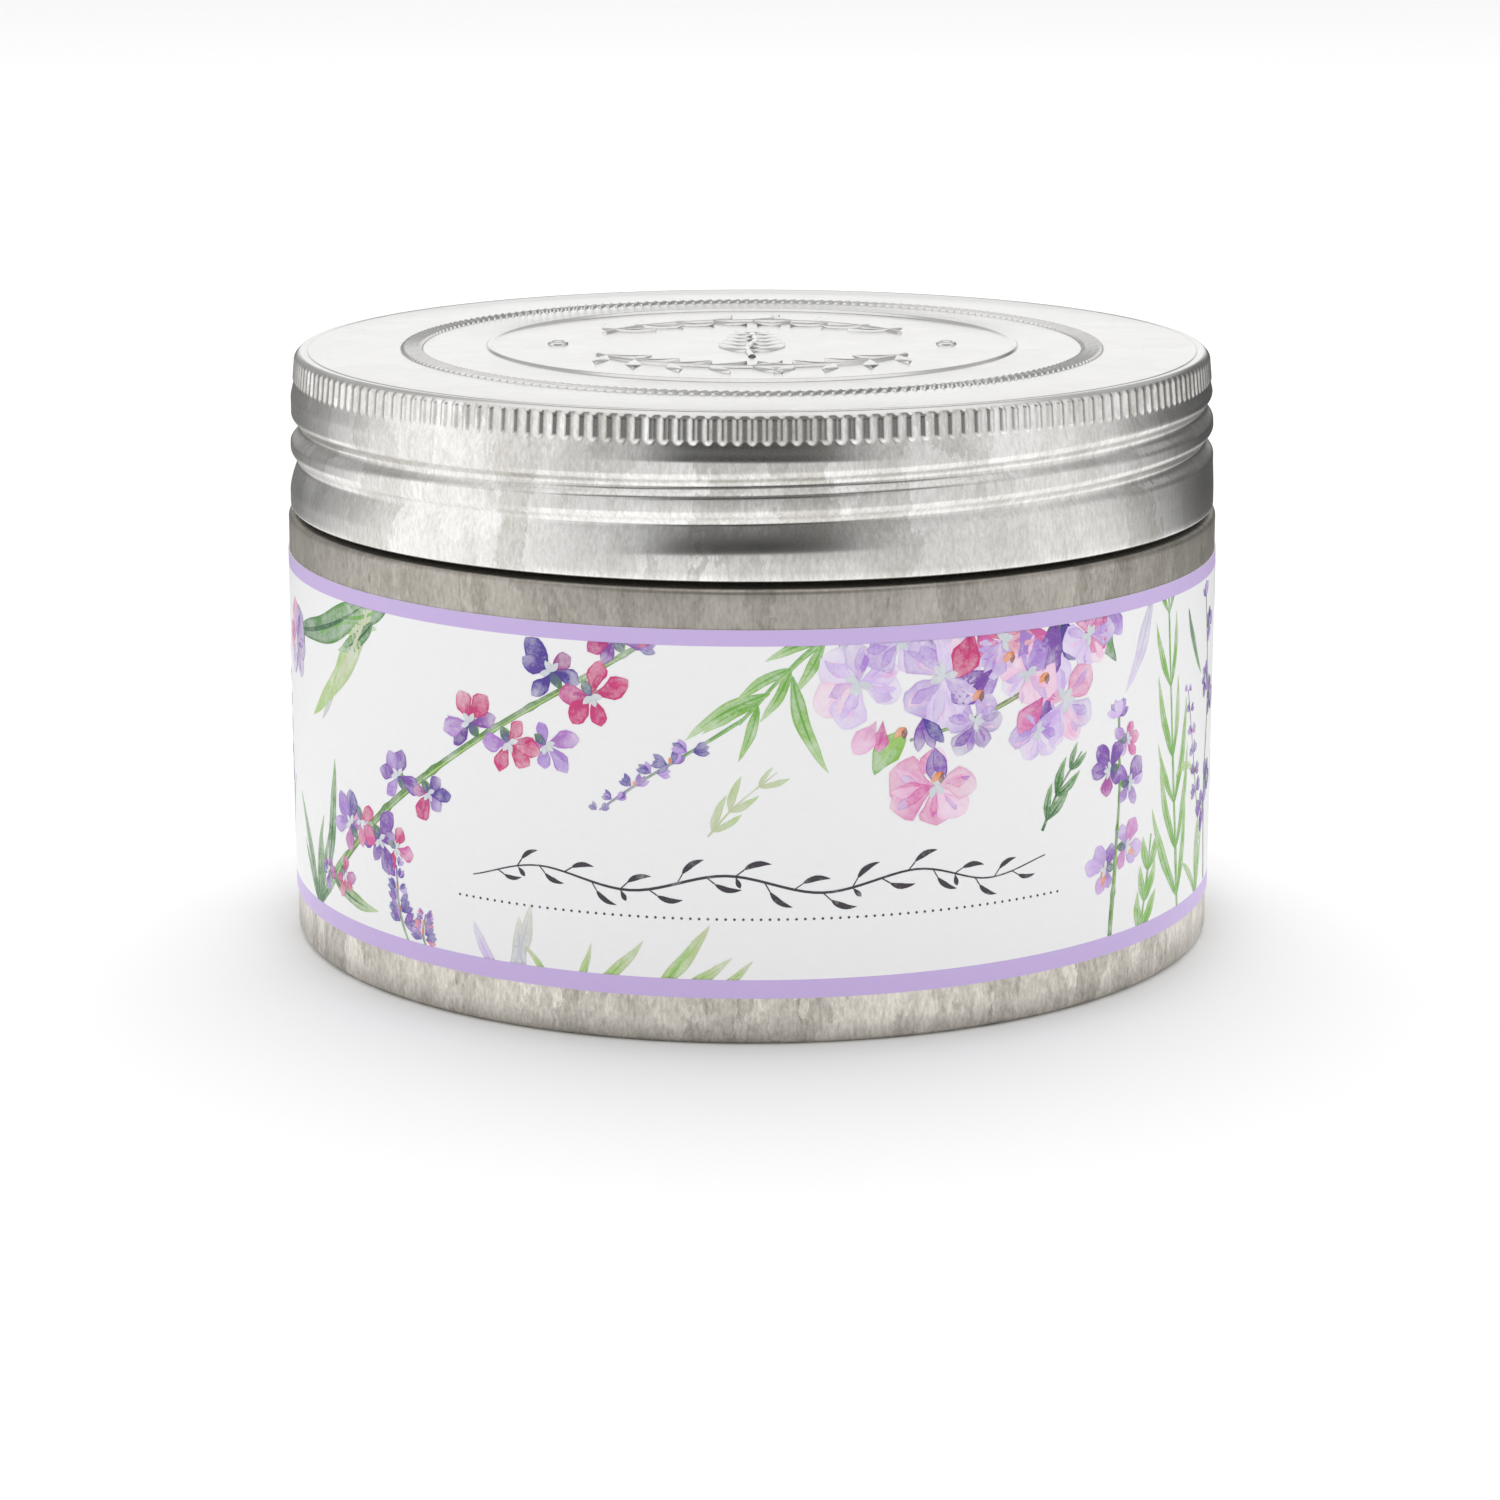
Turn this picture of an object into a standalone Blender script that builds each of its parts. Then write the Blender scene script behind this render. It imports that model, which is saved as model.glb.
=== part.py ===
"""Screw-top candle tin with wax, three wicks and a wrap label. Metres, +Z up, origin under the base."""

from math import atan2, cos, pi, radians, sin

import bmesh
import bpy

MM = 0.001

# Turned pieces
SEGMENTS = 64                    # sides of each large turned piece
SMALL_SEGMENTS = 16              # sides of each small turned piece
WALL = 0.35 * MM                 # sheet steel, one thickness everywhere
GAP = 0.3 * MM                   # clearance between neighbouring pieces

# Can body
BODY_R = 57.25 * MM              # outside of the straight wall
BASE_RECESS = 1.0 * MM           # height of the base panel above the table
RING_IN_R = 52.0 * MM            # inner edge of the standing ring's flat
RECESS_SLOPE = 1.1 * MM          # width of the step from the ring up to the panel
BASE_CORNER_R = 1.2 * MM
SHOULDER_Z = 52.6 * MM
SHOULDER_CORNER_R = 1.1 * MM
NECK_R = 54.7 * MM
RIM_Z = 70.5 * MM                # top of the curled rim
RIM_CURL_R = 0.75 * MM

# Screw thread: rolled, right-handed, six turns to the inch
PITCH = 25.4 * MM / 6.0
THREAD_DEPTH = 1.05 * MM
THREAD_ROW = PITCH / 6.0         # height of one row of facets in the threaded bands
GROOVE_Z = 60.75 * MM            # height of the lid's groove at angle zero
GROOVE_START = radians(-215.0)
GROOVE_END = radians(420.0)
GROOVE_FADE_IN = radians(110.0)
GROOVE_FADE_OUT = radians(60.0)
BEAD_START = radians(-150.0)
BEAD_END = radians(300.0)
BEAD_FADE = radians(40.0)

# Lid
LID_TOP_Z = 72.3 * MM
LID_BOTTOM_Z = 53.6 * MM
LID_WALL_R = 56.25 * MM          # knurled wall under the panel
LID_THREAD_R = 56.55 * MM        # crests between the rolled grooves
LID_SKIRT_R = 56.95 * MM         # plain skirt under the thread
LID_EDGE_R = 0.6 * MM
LID_THREAD_TOP_Z = 66.6 * MM
LID_SKIRT_TOP_Z = 56.4 * MM
HEM_WIDTH = 0.85 * MM
HEM_HEIGHT = 1.2 * MM
PANEL_RING_R = 32.3 * MM         # raised ring on the panel
PANEL_RING_WIDTH = 1.1 * MM
PANEL_RING_HEIGHT = 0.35 * MM
LINER_R = 55.2 * MM
LINER_THICKNESS = 0.8 * MM

# Paper
LABEL_BOTTOM_Z = 5.6 * MM
LABEL_TOP_Z = 48.2 * MM
LABEL_THICKNESS = 0.15 * MM
LABEL_SEAM_ANGLE = radians(90.0)
LABEL_SEAM_GAP = radians(0.6)
BASE_LABEL_R = 40.0 * MM

# Wax and wicks
WAX_TOP_Z = 46.0 * MM
WICK_COUNT = 3
WICK_CIRCLE_R = 27.0 * MM
WICK_FIRST_ANGLE = radians(90.0)
WICK_R = 1.2 * MM
WICK_TOP_Z = 54.0 * MM
STICKER_R = 7.5 * MM
STICKER_THICKNESS = 0.5 * MM
TAB_R = 7.5 * MM
TAB_THICKNESS = 0.3 * MM
CRIMP_HEIGHT = 4.0 * MM

# Heights that follow from the ones above
BASE_FLOOR_Z = BASE_RECESS + WALL
STICKER_Z = BASE_FLOOR_Z + GAP
TAB_Z = STICKER_Z + STICKER_THICKNESS + GAP
CRIMP_TOP_Z = TAB_Z + TAB_THICKNESS + CRIMP_HEIGHT

# Helices: height at angle zero, start, end, fade in, fade out
LID_GROOVE = (GROOVE_Z, GROOVE_START, GROOVE_END, GROOVE_FADE_IN, GROOVE_FADE_OUT)
NECK_BEAD = (GROOVE_Z + PITCH / 2.0, BEAD_START, BEAD_END, BEAD_FADE, BEAD_FADE)


def remove_everything():
    """Start from an empty file."""
    for item in list(bpy.data.objects):
        bpy.data.objects.remove(item)


def make_material(name, colour, roughness, metallic):
    """One Principled BSDF material."""
    material = bpy.data.materials.new(name)
    material.use_nodes = True
    shader = material.node_tree.nodes["Principled BSDF"]
    shader.inputs["Base Color"].default_value = (*colour, 1.0)
    shader.inputs["Roughness"].default_value = roughness
    shader.inputs["Metallic"].default_value = metallic
    return material


def arc(centre_r, centre_z, radius, start, end, steps):
    """Profile points (r, z) along an arc; angles are in degrees, 0 pointing outwards and 90 up."""
    points = []
    for step in range(steps + 1):
        angle = radians(start + (end - start) * step / steps)
        points.append((centre_r + radius * cos(angle), centre_z + radius * sin(angle)))
    return points


def rows(radius, start_z, end_z):
    """Evenly spaced profile points (r, z) along a threaded wall."""
    count = round(abs(end_z - start_z) / THREAD_ROW)
    return [(radius, start_z + (end_z - start_z) * step / count) for step in range(count + 1)]


def turned(profile, segments, turn=2.0 * pi, start_angle=0.0):
    """Turn a profile (r, z) round Z; it runs from axis to axis, or closes on itself."""
    mesh = bmesh.new()
    verts = [mesh.verts.new((r * cos(start_angle), r * sin(start_angle), z)) for r, z in profile]
    edges = [mesh.edges.new(pair) for pair in zip(verts, verts[1:])]
    if profile[0][0] > 0.0:
        edges.append(mesh.edges.new((verts[-1], verts[0])))
    whole = turn == 2.0 * pi
    bmesh.ops.spin(mesh, geom=verts + edges, cent=(0.0, 0.0, 0.0), axis=(0.0, 0.0, 1.0),
                   angle=turn, steps=segments, use_merge=whole)
    bmesh.ops.remove_doubles(mesh, verts=mesh.verts, dist=0.001 * MM)
    return mesh


def mesh_data(name, mesh):
    """Close a bmesh with its faces pointing out and its round faces smooth."""
    bmesh.ops.recalc_face_normals(mesh, faces=mesh.faces)
    data = bpy.data.meshes.new(name)
    mesh.to_mesh(data)
    mesh.free()
    data.shade_smooth()
    data.set_sharp_from_angle(angle=radians(35.0))
    return data


def add_object(name, data, material=None, location=(0.0, 0.0, 0.0), parent=None):
    """Put mesh data, or an empty, in the scene under its own name."""
    item = bpy.data.objects.new(name, data)
    bpy.context.scene.collection.objects.link(item)
    if material and not data.materials:
        data.materials.append(material)
    item.location = location
    item.parent = parent
    return item


def smooth_step(value):
    """Ease from 0 to 1."""
    value = min(1.0, max(0.0, value))
    return value * value * (3.0 - 2.0 * value)


def helix_height(angle, z, helix):
    """How far a rolled helix stands out at an angle and height, from 0 to 1."""
    zero_z, start, end, fade_in, fade_out = helix
    height = 0.0
    for lap in range(-1, 3):
        lap_angle = angle + lap * 2.0 * pi
        offset = z - zero_z - PITCH * lap_angle / (2.0 * pi)
        if start < lap_angle < end and abs(offset) < PITCH / 2.0:
            fade = smooth_step((lap_angle - start) / fade_in) * smooth_step((end - lap_angle) / fade_out)
            height += fade * 0.5 * (1.0 + cos(2.0 * pi * offset / PITCH))
    return height


def roll_thread(mesh, low_z, high_z, depth, helix):
    """Push both skins of a wall in or out along a helix."""
    for vert in mesh.verts:
        radius = vert.co.xy.length
        if radius > NECK_R - 2.0 * WALL and low_z < vert.co.z < high_z:
            angle = atan2(vert.co.y, vert.co.x)
            vert.co.xy *= 1.0 + depth * helix_height(angle, vert.co.z, helix) / radius


def build_tin_body(material):
    """Drawn can: recessed base, standing ring, wall, shoulder, threaded neck and curled rim."""
    corner_in_r = BODY_R - BASE_CORNER_R
    shoulder_in_r = BODY_R - SHOULDER_CORNER_R
    shoulder_in_z = SHOULDER_Z - SHOULDER_CORNER_R
    neck_in_r = NECK_R - WALL
    neck_low_z = SHOULDER_Z + 4.0 * WALL
    neck_high_z = RIM_Z - 2.0 * RIM_CURL_R
    curl_r = NECK_R - RIM_CURL_R
    curl_z = RIM_Z - RIM_CURL_R

    outside = [(0.0, BASE_RECESS), (RING_IN_R - RECESS_SLOPE, BASE_RECESS), (RING_IN_R, 0.0)]
    outside += arc(corner_in_r, BASE_CORNER_R, BASE_CORNER_R, -90.0, 0.0, 4)
    outside += arc(shoulder_in_r, shoulder_in_z, SHOULDER_CORNER_R, 0.0, 90.0, 4)
    outside += [(NECK_R + WALL, SHOULDER_Z + 0.5 * WALL)]
    outside += rows(NECK_R, neck_low_z, neck_high_z)
    outside += arc(curl_r, curl_z, RIM_CURL_R, 0.0, 225.0, 6)

    inside = rows(neck_in_r, neck_high_z, neck_low_z)
    inside += [(neck_in_r + WALL, SHOULDER_Z - 0.5 * WALL)]
    inside += arc(shoulder_in_r, shoulder_in_z, SHOULDER_CORNER_R - WALL, 90.0, 0.0, 3)
    inside += arc(corner_in_r, BASE_CORNER_R, BASE_CORNER_R - WALL, 0.0, -90.0, 3)
    inside += [(RING_IN_R + 0.5 * WALL, WALL), (RING_IN_R - RECESS_SLOPE + 0.5 * WALL, BASE_FLOOR_Z)]
    inside += [(0.0, BASE_FLOOR_Z)]

    mesh = turned(outside + inside, SEGMENTS)
    roll_thread(mesh, neck_low_z, neck_high_z, THREAD_DEPTH, NECK_BEAD)
    return add_object("tin_body", mesh_data("tin_body", mesh), material)


def lid_wall_radius(z):
    """Outside radius of the lid's wall: a knurled band, a threaded band and a plain skirt."""
    swell = smooth_step((LID_THREAD_TOP_Z + THREAD_ROW - z) / (2.0 * THREAD_ROW))
    flare = smooth_step((LID_SKIRT_TOP_Z + 2.0 * THREAD_ROW - z) / (3.0 * THREAD_ROW))
    return LID_WALL_R + swell * (LID_THREAD_R - LID_WALL_R) + flare * (LID_SKIRT_R - LID_THREAD_R)


def build_lid_shell(material, axis):
    """Pressed screw lid: panel with a raised ring, wall with a rolled groove, hemmed skirt."""
    edge_in_r = LID_WALL_R - LID_EDGE_R
    edge_in_z = LID_TOP_Z - LID_EDGE_R
    ring_half = PANEL_RING_WIDTH / 2.0
    ring_top = LID_TOP_Z + PANEL_RING_HEIGHT
    hem_r = HEM_WIDTH / 2.0
    hem_z = LID_BOTTOM_Z + hem_r
    hem_in_r = LID_SKIRT_R - HEM_WIDTH
    under_panel_z = LID_TOP_Z - WALL

    panel = [(0.0, LID_TOP_Z), (PANEL_RING_R - ring_half, LID_TOP_Z)]
    panel += [(PANEL_RING_R - ring_half / 3.0, ring_top), (PANEL_RING_R + ring_half / 3.0, ring_top)]
    panel += [(PANEL_RING_R + ring_half, LID_TOP_Z)]
    panel += arc(edge_in_r, edge_in_z, LID_EDGE_R, 90.0, 0.0, 3)
    wall = rows(0.0, LID_THREAD_TOP_Z + THREAD_ROW, LID_SKIRT_TOP_Z - THREAD_ROW)
    outer_wall = [(lid_wall_radius(z), z) for _, z in wall]
    hem = arc(LID_SKIRT_R - hem_r, hem_z, hem_r, 0.0, -180.0, 5)
    hem += [(hem_in_r, LID_BOTTOM_Z + HEM_HEIGHT - WALL), (LID_SKIRT_R - WALL, LID_BOTTOM_Z + HEM_HEIGHT)]
    inner_wall = [(r - WALL, z) for r, z in reversed(outer_wall)]
    inner_panel = arc(edge_in_r, edge_in_z, LID_EDGE_R - WALL, 0.0, 90.0, 2) + [(0.0, under_panel_z)]

    mesh = turned(panel + outer_wall + hem + inner_wall + inner_panel, SEGMENTS)
    roll_thread(mesh, LID_BOTTOM_Z + HEM_HEIGHT, edge_in_z, -THREAD_DEPTH, LID_GROOVE)
    return add_object("lid_shell", mesh_data("lid_shell", mesh), material, parent=axis)


def build_lid_liner(material, axis):
    """Foam disc between the lid's panel and the rim."""
    low_z = RIM_Z + GAP
    high_z = low_z + LINER_THICKNESS
    mesh = turned([(0.0, low_z), (LINER_R, low_z), (LINER_R, high_z), (0.0, high_z)], SEGMENTS)
    return add_object("lid_liner", mesh_data("lid_liner", mesh), material, parent=axis)


def build_body_label(material):
    """Paper strip round the wall, its two ends meeting at a seam."""
    inner_r = BODY_R + GAP
    outer_r = inner_r + LABEL_THICKNESS
    profile = [(inner_r, LABEL_BOTTOM_Z), (outer_r, LABEL_BOTTOM_Z)]
    profile += [(outer_r, LABEL_TOP_Z), (inner_r, LABEL_TOP_Z)]
    start = LABEL_SEAM_ANGLE + LABEL_SEAM_GAP / 2.0
    mesh = turned(profile, SEGMENTS, 2.0 * pi - LABEL_SEAM_GAP, start)
    ends = [edge for edge in mesh.edges if edge.is_boundary]
    bmesh.ops.holes_fill(mesh, edges=ends, sides=4)
    return add_object("body_label", mesh_data("body_label", mesh), material)


def build_base_label(material):
    """Round sticker in the recess under the base, clear of the table."""
    high_z = BASE_RECESS - GAP
    low_z = high_z - LABEL_THICKNESS
    profile = [(0.0, low_z), (BASE_LABEL_R, low_z), (BASE_LABEL_R, high_z), (0.0, high_z)]
    return add_object("base_label", mesh_data("base_label", turned(profile, SEGMENTS)), material)


def wick_places():
    """Floor positions of the wicks, evenly spaced on a circle."""
    places = []
    for index in range(WICK_COUNT):
        angle = WICK_FIRST_ANGLE + 2.0 * pi * index / WICK_COUNT
        places.append((WICK_CIRCLE_R * cos(angle), WICK_CIRCLE_R * sin(angle), 0.0))
    return places


def build_wick_sets(cotton, steel, foam):
    """A sticker, a tab with its crimp tube and a wick at each place."""
    tube_r = WICK_R + GAP
    tab_profile = [(tube_r, TAB_Z), (TAB_R, TAB_Z), (TAB_R, TAB_Z + TAB_THICKNESS)]
    tab_profile += [(tube_r + WALL, TAB_Z + TAB_THICKNESS), (tube_r + WALL, CRIMP_TOP_Z)]
    tab_profile += [(tube_r, CRIMP_TOP_Z)]
    sticker_top = STICKER_Z + STICKER_THICKNESS
    sticker_profile = [(0.0, STICKER_Z), (STICKER_R, STICKER_Z), (STICKER_R, sticker_top), (0.0, sticker_top)]
    tip_z = WICK_TOP_Z - WICK_R / 2.0
    wick_profile = [(0.0, TAB_Z), (WICK_R, TAB_Z), (WICK_R, tip_z)]
    wick_profile += [(0.8 * WICK_R, WICK_TOP_Z), (0.0, WICK_TOP_Z)]

    sticker_data = mesh_data("wick_sticker", turned(sticker_profile, SMALL_SEGMENTS))
    tab_data = mesh_data("wick_sustainer", turned(tab_profile, SMALL_SEGMENTS))
    wick_data = mesh_data("wick", turned(wick_profile, SMALL_SEGMENTS))
    for number, place in enumerate(wick_places(), 1):
        add_object(f"wick_sticker_{number}", sticker_data, foam, place)
        add_object(f"wick_sustainer_{number}", tab_data, steel, place)
        add_object(f"wick_{number}", wick_data, cotton, place)


def build_wax(material):
    """Poured block that fills the can and surrounds each wick, tab and sticker."""
    wall_r = BODY_R - WALL - GAP
    floor_z = BASE_FLOOR_Z + GAP
    trough_z = WALL + GAP
    corner_in_r = BODY_R - BASE_CORNER_R
    step_r = RING_IN_R - RECESS_SLOPE + WALL
    profile = [(0.0, floor_z), (step_r, floor_z), (step_r + RECESS_SLOPE, trough_z)]
    profile += [(corner_in_r - GAP, trough_z), (wall_r, trough_z + BASE_CORNER_R)]
    profile += [(wall_r, WAX_TOP_Z), (0.0, WAX_TOP_Z)]
    wax = add_object("wax_fill", mesh_data("wax_fill", turned(profile, SEGMENTS)), material)

    below = floor_z - 1.0 * MM
    above = WAX_TOP_Z + 1.0 * MM
    tab_top = TAB_Z + TAB_THICKNESS + GAP
    hole = [(0.0, below), (TAB_R + GAP, below), (TAB_R + GAP, tab_top)]
    hole += [(WICK_R + WALL + 2.0 * GAP, tab_top), (WICK_R + WALL + 2.0 * GAP, CRIMP_TOP_Z + GAP)]
    hole += [(WICK_R + GAP, CRIMP_TOP_Z + GAP), (WICK_R + GAP, above), (0.0, above)]
    hole_data = mesh_data("wick_hole", turned(hole, SMALL_SEGMENTS))
    for number, place in enumerate(wick_places(), 1):
        cutter = add_object(f"wick_hole_{number}", hole_data, location=place)
        cutter.hide_render = True
        cutter.display_type = 'WIRE'
        cut = wax.modifiers.new(f"hole_{number}", 'BOOLEAN')
        cut.operation = 'DIFFERENCE'
        cut.solver = 'EXACT'
        cut.object = cutter
    return wax


def main():
    remove_everything()
    galvanised = make_material("galvanised_steel", (0.47, 0.46, 0.43), 0.38, 1.0)
    lid_steel = make_material("lid_steel", (0.72, 0.72, 0.71), 0.28, 1.0)
    foam = make_material("liner_foam", (0.86, 0.86, 0.84), 0.7, 0.0)
    paper = make_material("label_paper", (0.88, 0.86, 0.9), 0.45, 0.0)
    sticker = make_material("sticker_paper", (0.85, 0.85, 0.83), 0.5, 0.0)
    soy = make_material("soy_wax", (0.9, 0.87, 0.76), 0.35, 0.0)
    cotton = make_material("wick_cotton", (0.87, 0.83, 0.72), 0.85, 0.0)
    tab_steel = make_material("sustainer_steel", (0.6, 0.6, 0.58), 0.35, 1.0)
    tape = make_material("adhesive_foam", (0.9, 0.9, 0.88), 0.8, 0.0)

    lid_axis = add_object("lid_axis", None, location=(0.0, 0.0, 0.0))
    build_tin_body(galvanised)
    build_body_label(paper)
    build_base_label(sticker)
    build_wax(soy)
    build_wick_sets(cotton, tab_steel, tape)
    build_lid_liner(foam, lid_axis)
    build_lid_shell(lid_steel, lid_axis)


main()
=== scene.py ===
"""Looks of the candle tin: fine sheet-metal shells, a printed label, wax and braided wicks."""

import random
from math import atan2, cos, hypot, pi, radians, sin

import bmesh
import bpy
import numpy as np
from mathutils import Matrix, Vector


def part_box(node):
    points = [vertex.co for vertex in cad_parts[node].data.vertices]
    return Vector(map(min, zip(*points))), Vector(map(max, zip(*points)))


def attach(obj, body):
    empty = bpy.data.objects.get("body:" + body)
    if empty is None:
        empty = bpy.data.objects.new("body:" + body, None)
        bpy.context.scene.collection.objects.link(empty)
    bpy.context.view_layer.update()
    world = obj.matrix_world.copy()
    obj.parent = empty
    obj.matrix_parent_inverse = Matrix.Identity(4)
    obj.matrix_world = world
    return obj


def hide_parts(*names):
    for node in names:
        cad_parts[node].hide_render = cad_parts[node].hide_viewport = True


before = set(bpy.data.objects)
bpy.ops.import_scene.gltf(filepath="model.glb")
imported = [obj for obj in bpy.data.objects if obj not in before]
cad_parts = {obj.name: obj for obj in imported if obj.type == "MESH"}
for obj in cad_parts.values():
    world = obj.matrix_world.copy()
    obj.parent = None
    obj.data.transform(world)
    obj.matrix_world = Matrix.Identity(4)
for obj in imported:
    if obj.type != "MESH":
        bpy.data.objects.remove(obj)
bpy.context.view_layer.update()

MM = 0.001
TAU = 2.0 * pi

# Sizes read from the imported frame
TIN_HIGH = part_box("tin_body")[1]
LID_LOW, LID_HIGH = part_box("lid_shell")
LABEL_LOW, LABEL_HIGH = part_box("body_label")
WAX_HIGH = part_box("wax_fill")[1]
BODY_R = TIN_HIGH.x
RIM_Z = TIN_HIGH.z
LID_SKIRT_R = LID_HIGH.x
HEM_DROP = 0.2 * MM
LID_BOTTOM_Z = LID_LOW.z - HEM_DROP
WAX_Z = WAX_HIGH.z

# Sheet metal and thread, as the frame has them
WALL = 0.35 * MM
PITCH = 25.4 * MM / 6.0
THREAD_DEPTH = 1.05 * MM
GROOVE_Z = 60.75 * MM
LID_GROOVE = (GROOVE_Z, radians(-215.0), radians(420.0), radians(45.0), radians(60.0))
NECK_BEAD = (GROOVE_Z + PITCH / 2.0, radians(-150.0), radians(300.0), radians(40.0), radians(40.0))
PANEL_RING_HEIGHT = 0.35 * MM
PANEL_Z = LID_HIGH.z - PANEL_RING_HEIGHT
NECK_R = 54.7 * MM
SHOULDER_Z = 52.6 * MM

# Paper
PAPER = 0.14 * MM
GLUE = 0.02 * MM
LABEL_R = BODY_R + GLUE + PAPER
BAND_LOW = 2.2 * MM
BAND_HIGH = 1.85 * MM


# ---------------------------------------------------------------- meshes

def srgb(red, green, blue):
    """Linear colour from 8-bit display values."""
    values = []
    for value in (red, green, blue):
        value /= 255.0
        values.append(value / 12.92 if value <= 0.04045 else ((value + 0.055) / 1.055) ** 2.4)
    return tuple(values)


def add_object(name, data):
    """Link a new object to the scene."""
    item = bpy.data.objects.new(name, data)
    bpy.context.scene.collection.objects.link(item)
    return item


def add_mesh(name, verts, faces, materials, sharp, face_materials=None):
    """A smooth-shaded object from vertex positions and faces, with edges sharp above an angle."""
    data = bpy.data.meshes.new(name)
    data.from_pydata([tuple(v) for v in verts], [], faces)
    for material in materials:
        data.materials.append(material)
    data.shade_smooth()
    data.set_sharp_from_angle(angle=radians(sharp))
    if face_materials is not None:
        data.polygons.foreach_set("material_index", face_materials)
    return add_object(name, data)


def place(item, body, slot, *nodes):
    """Ride a body and stand for CAD nodes; the slot argument is not used."""
    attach(item, body)
    if nodes:
        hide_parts(*nodes)
    return item


def ring_faces(rings, columns, flip=False, start=0):
    """Quads between neighbouring rings of equal size; start is the first ring's first point."""
    faces = []
    for ring in range(rings - 1):
        low = start + ring * columns
        high = low + columns
        for column in range(columns):
            after = (column + 1) % columns
            quad = (low + column, high + column, high + after, low + after)
            faces.append(quad[::-1] if flip else quad)
    return faces


def tube_faces(rings, columns, start=0):
    """Quads between neighbouring rings and a face at each end."""
    end = start + (rings - 1) * columns
    return ring_faces(rings, columns, start=start) + [
        tuple(range(start, start + columns)), tuple(reversed(range(end, end + columns)))]


def shell(name, radii, heights, angles, materials, flip=False, sharp=40.0):
    """A closed turned body; its first and last rows lie on the axis and become single points.

    radii and heights have one row per profile point and one column per angle.
    """
    columns = len(angles)
    inner = slice(1, -1)
    x = radii[inner] * np.cos(angles)
    y = radii[inner] * np.sin(angles)
    rings = np.stack([x, y, heights[inner]], axis=-1)
    verts = [tuple(v) for v in rings.reshape(-1, 3)]
    faces = ring_faces(len(rings), columns, flip)
    first = len(verts)
    verts.append((0.0, 0.0, float(heights[0].mean())))
    verts.append((0.0, 0.0, float(heights[-1].mean())))
    last_ring = first - columns
    for column in range(columns):
        after = (column + 1) % columns
        top = (first, column, after)
        bottom = (first + 1, last_ring + after, last_ring + column)
        faces.append(top[::-1] if flip else top)
        faces.append(bottom[::-1] if flip else bottom)
    return add_mesh(name, verts, faces, materials, sharp)


def turned(profile, columns):
    """Angles round the axis, with the profile's radii and heights repeated at each of them."""
    angles = np.linspace(0.0, TAU, columns, endpoint=False)
    return angles, np.repeat(profile[:, :1], columns, axis=1), np.repeat(profile[:, 1:], columns, axis=1)


def arc(centre_r, centre_z, radius, start, end, steps):
    """Profile points (r, z) along an arc, angles in degrees, 0 outwards and 90 up."""
    angles = np.radians(np.linspace(start, end, steps + 1))
    return np.stack([centre_r + radius * np.cos(angles), centre_z + radius * np.sin(angles)], axis=-1)


def line(r0, z0, r1, z1, steps):
    """Evenly spaced profile points from one (r, z) to another."""
    return np.stack([np.linspace(r0, r1, steps + 1), np.linspace(z0, z1, steps + 1)], axis=-1)


def smooth_step(value):
    """Ease from 0 to 1."""
    value = np.clip(value, 0.0, 1.0)
    return value * value * (3.0 - 2.0 * value)


def raised_cosine(offset, half):
    """1 at an offset of 0, easing to 0 at half to either side."""
    return 0.5 + 0.5 * np.cos(pi * np.clip(offset / half, -1.0, 1.0))


def helix_laps(angles, heights, helix):
    """For each lap: its angle, the height above the helix line and the fade at its ends."""
    zero_z, start, end, fade_in, fade_out = helix
    for lap in range(-1, 3):
        lap_angle = angles + lap * TAU
        fade = smooth_step((lap_angle - start) / fade_in) * smooth_step((end - lap_angle) / fade_out)
        yield lap_angle, heights - zero_z - PITCH * lap_angle / TAU, fade


# ---------------------------------------------------------------- materials

def new_material(name):
    """An empty Principled material with its tree and shader."""
    material = bpy.data.materials.new(name)
    material.use_nodes = True
    tree = material.node_tree
    return material, tree, tree.nodes["Principled BSDF"]


def feed(tree, item, **inputs):
    """Link or set a node's inputs; _ stands for a space in a name and i6 for input number 6."""
    for key, value in inputs.items():
        numbered = key[0] == "i" and key[1:].isdigit()
        socket = item.inputs[int(key[1:]) if numbered else key.replace("_", " ")]
        if isinstance(value, bpy.types.NodeSocket):
            tree.links.new(value, socket)
        else:
            socket.default_value = value


def add_node(tree, kind, settings=None, **inputs):
    """Add a node with its settings and its inputs."""
    item = tree.nodes.new(kind)
    for key, value in (settings or {}).items():
        setattr(item, key, value)
    feed(tree, item, **inputs)
    return item


def noise(tree, vector, scale, detail=4.0, roughness=0.55, distortion=0.0):
    """Noise value at a number of cells to the metre."""
    item = add_node(tree, "ShaderNodeTexNoise", Vector=vector, Scale=scale, Detail=detail,
                    Roughness=roughness, Distortion=distortion)
    return item.outputs["Fac"]


def stretch(tree, scale):
    """Object coordinates scaled along each axis."""
    coordinates = add_node(tree, "ShaderNodeTexCoord").outputs["Object"]
    return add_node(tree, "ShaderNodeMapping", Vector=coordinates, Scale=scale).outputs["Vector"]


def remap(tree, value, low, high, to_low, to_high):
    """Clamp a value's range into another."""
    item = add_node(tree, "ShaderNodeMapRange", Value=value, From_Min=low, From_Max=high,
                    To_Min=to_low, To_Max=to_high)
    return item.outputs["Result"]


def blend_colours(tree, factor, first, second):
    """Mix two colours by a factor."""
    first, second = (colour if isinstance(colour, bpy.types.NodeSocket) else (*colour, 1.0)
                     for colour in (first, second))
    item = add_node(tree, "ShaderNodeMix", {"data_type": 'RGBA'}, i0=factor, i6=first, i7=second)
    return item.outputs[2]


def combine(tree, first, second, operation='ADD'):
    """Arithmetic on two values."""
    return add_node(tree, "ShaderNodeMath", {"operation": operation}, i0=first, i1=second).outputs[0]


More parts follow.
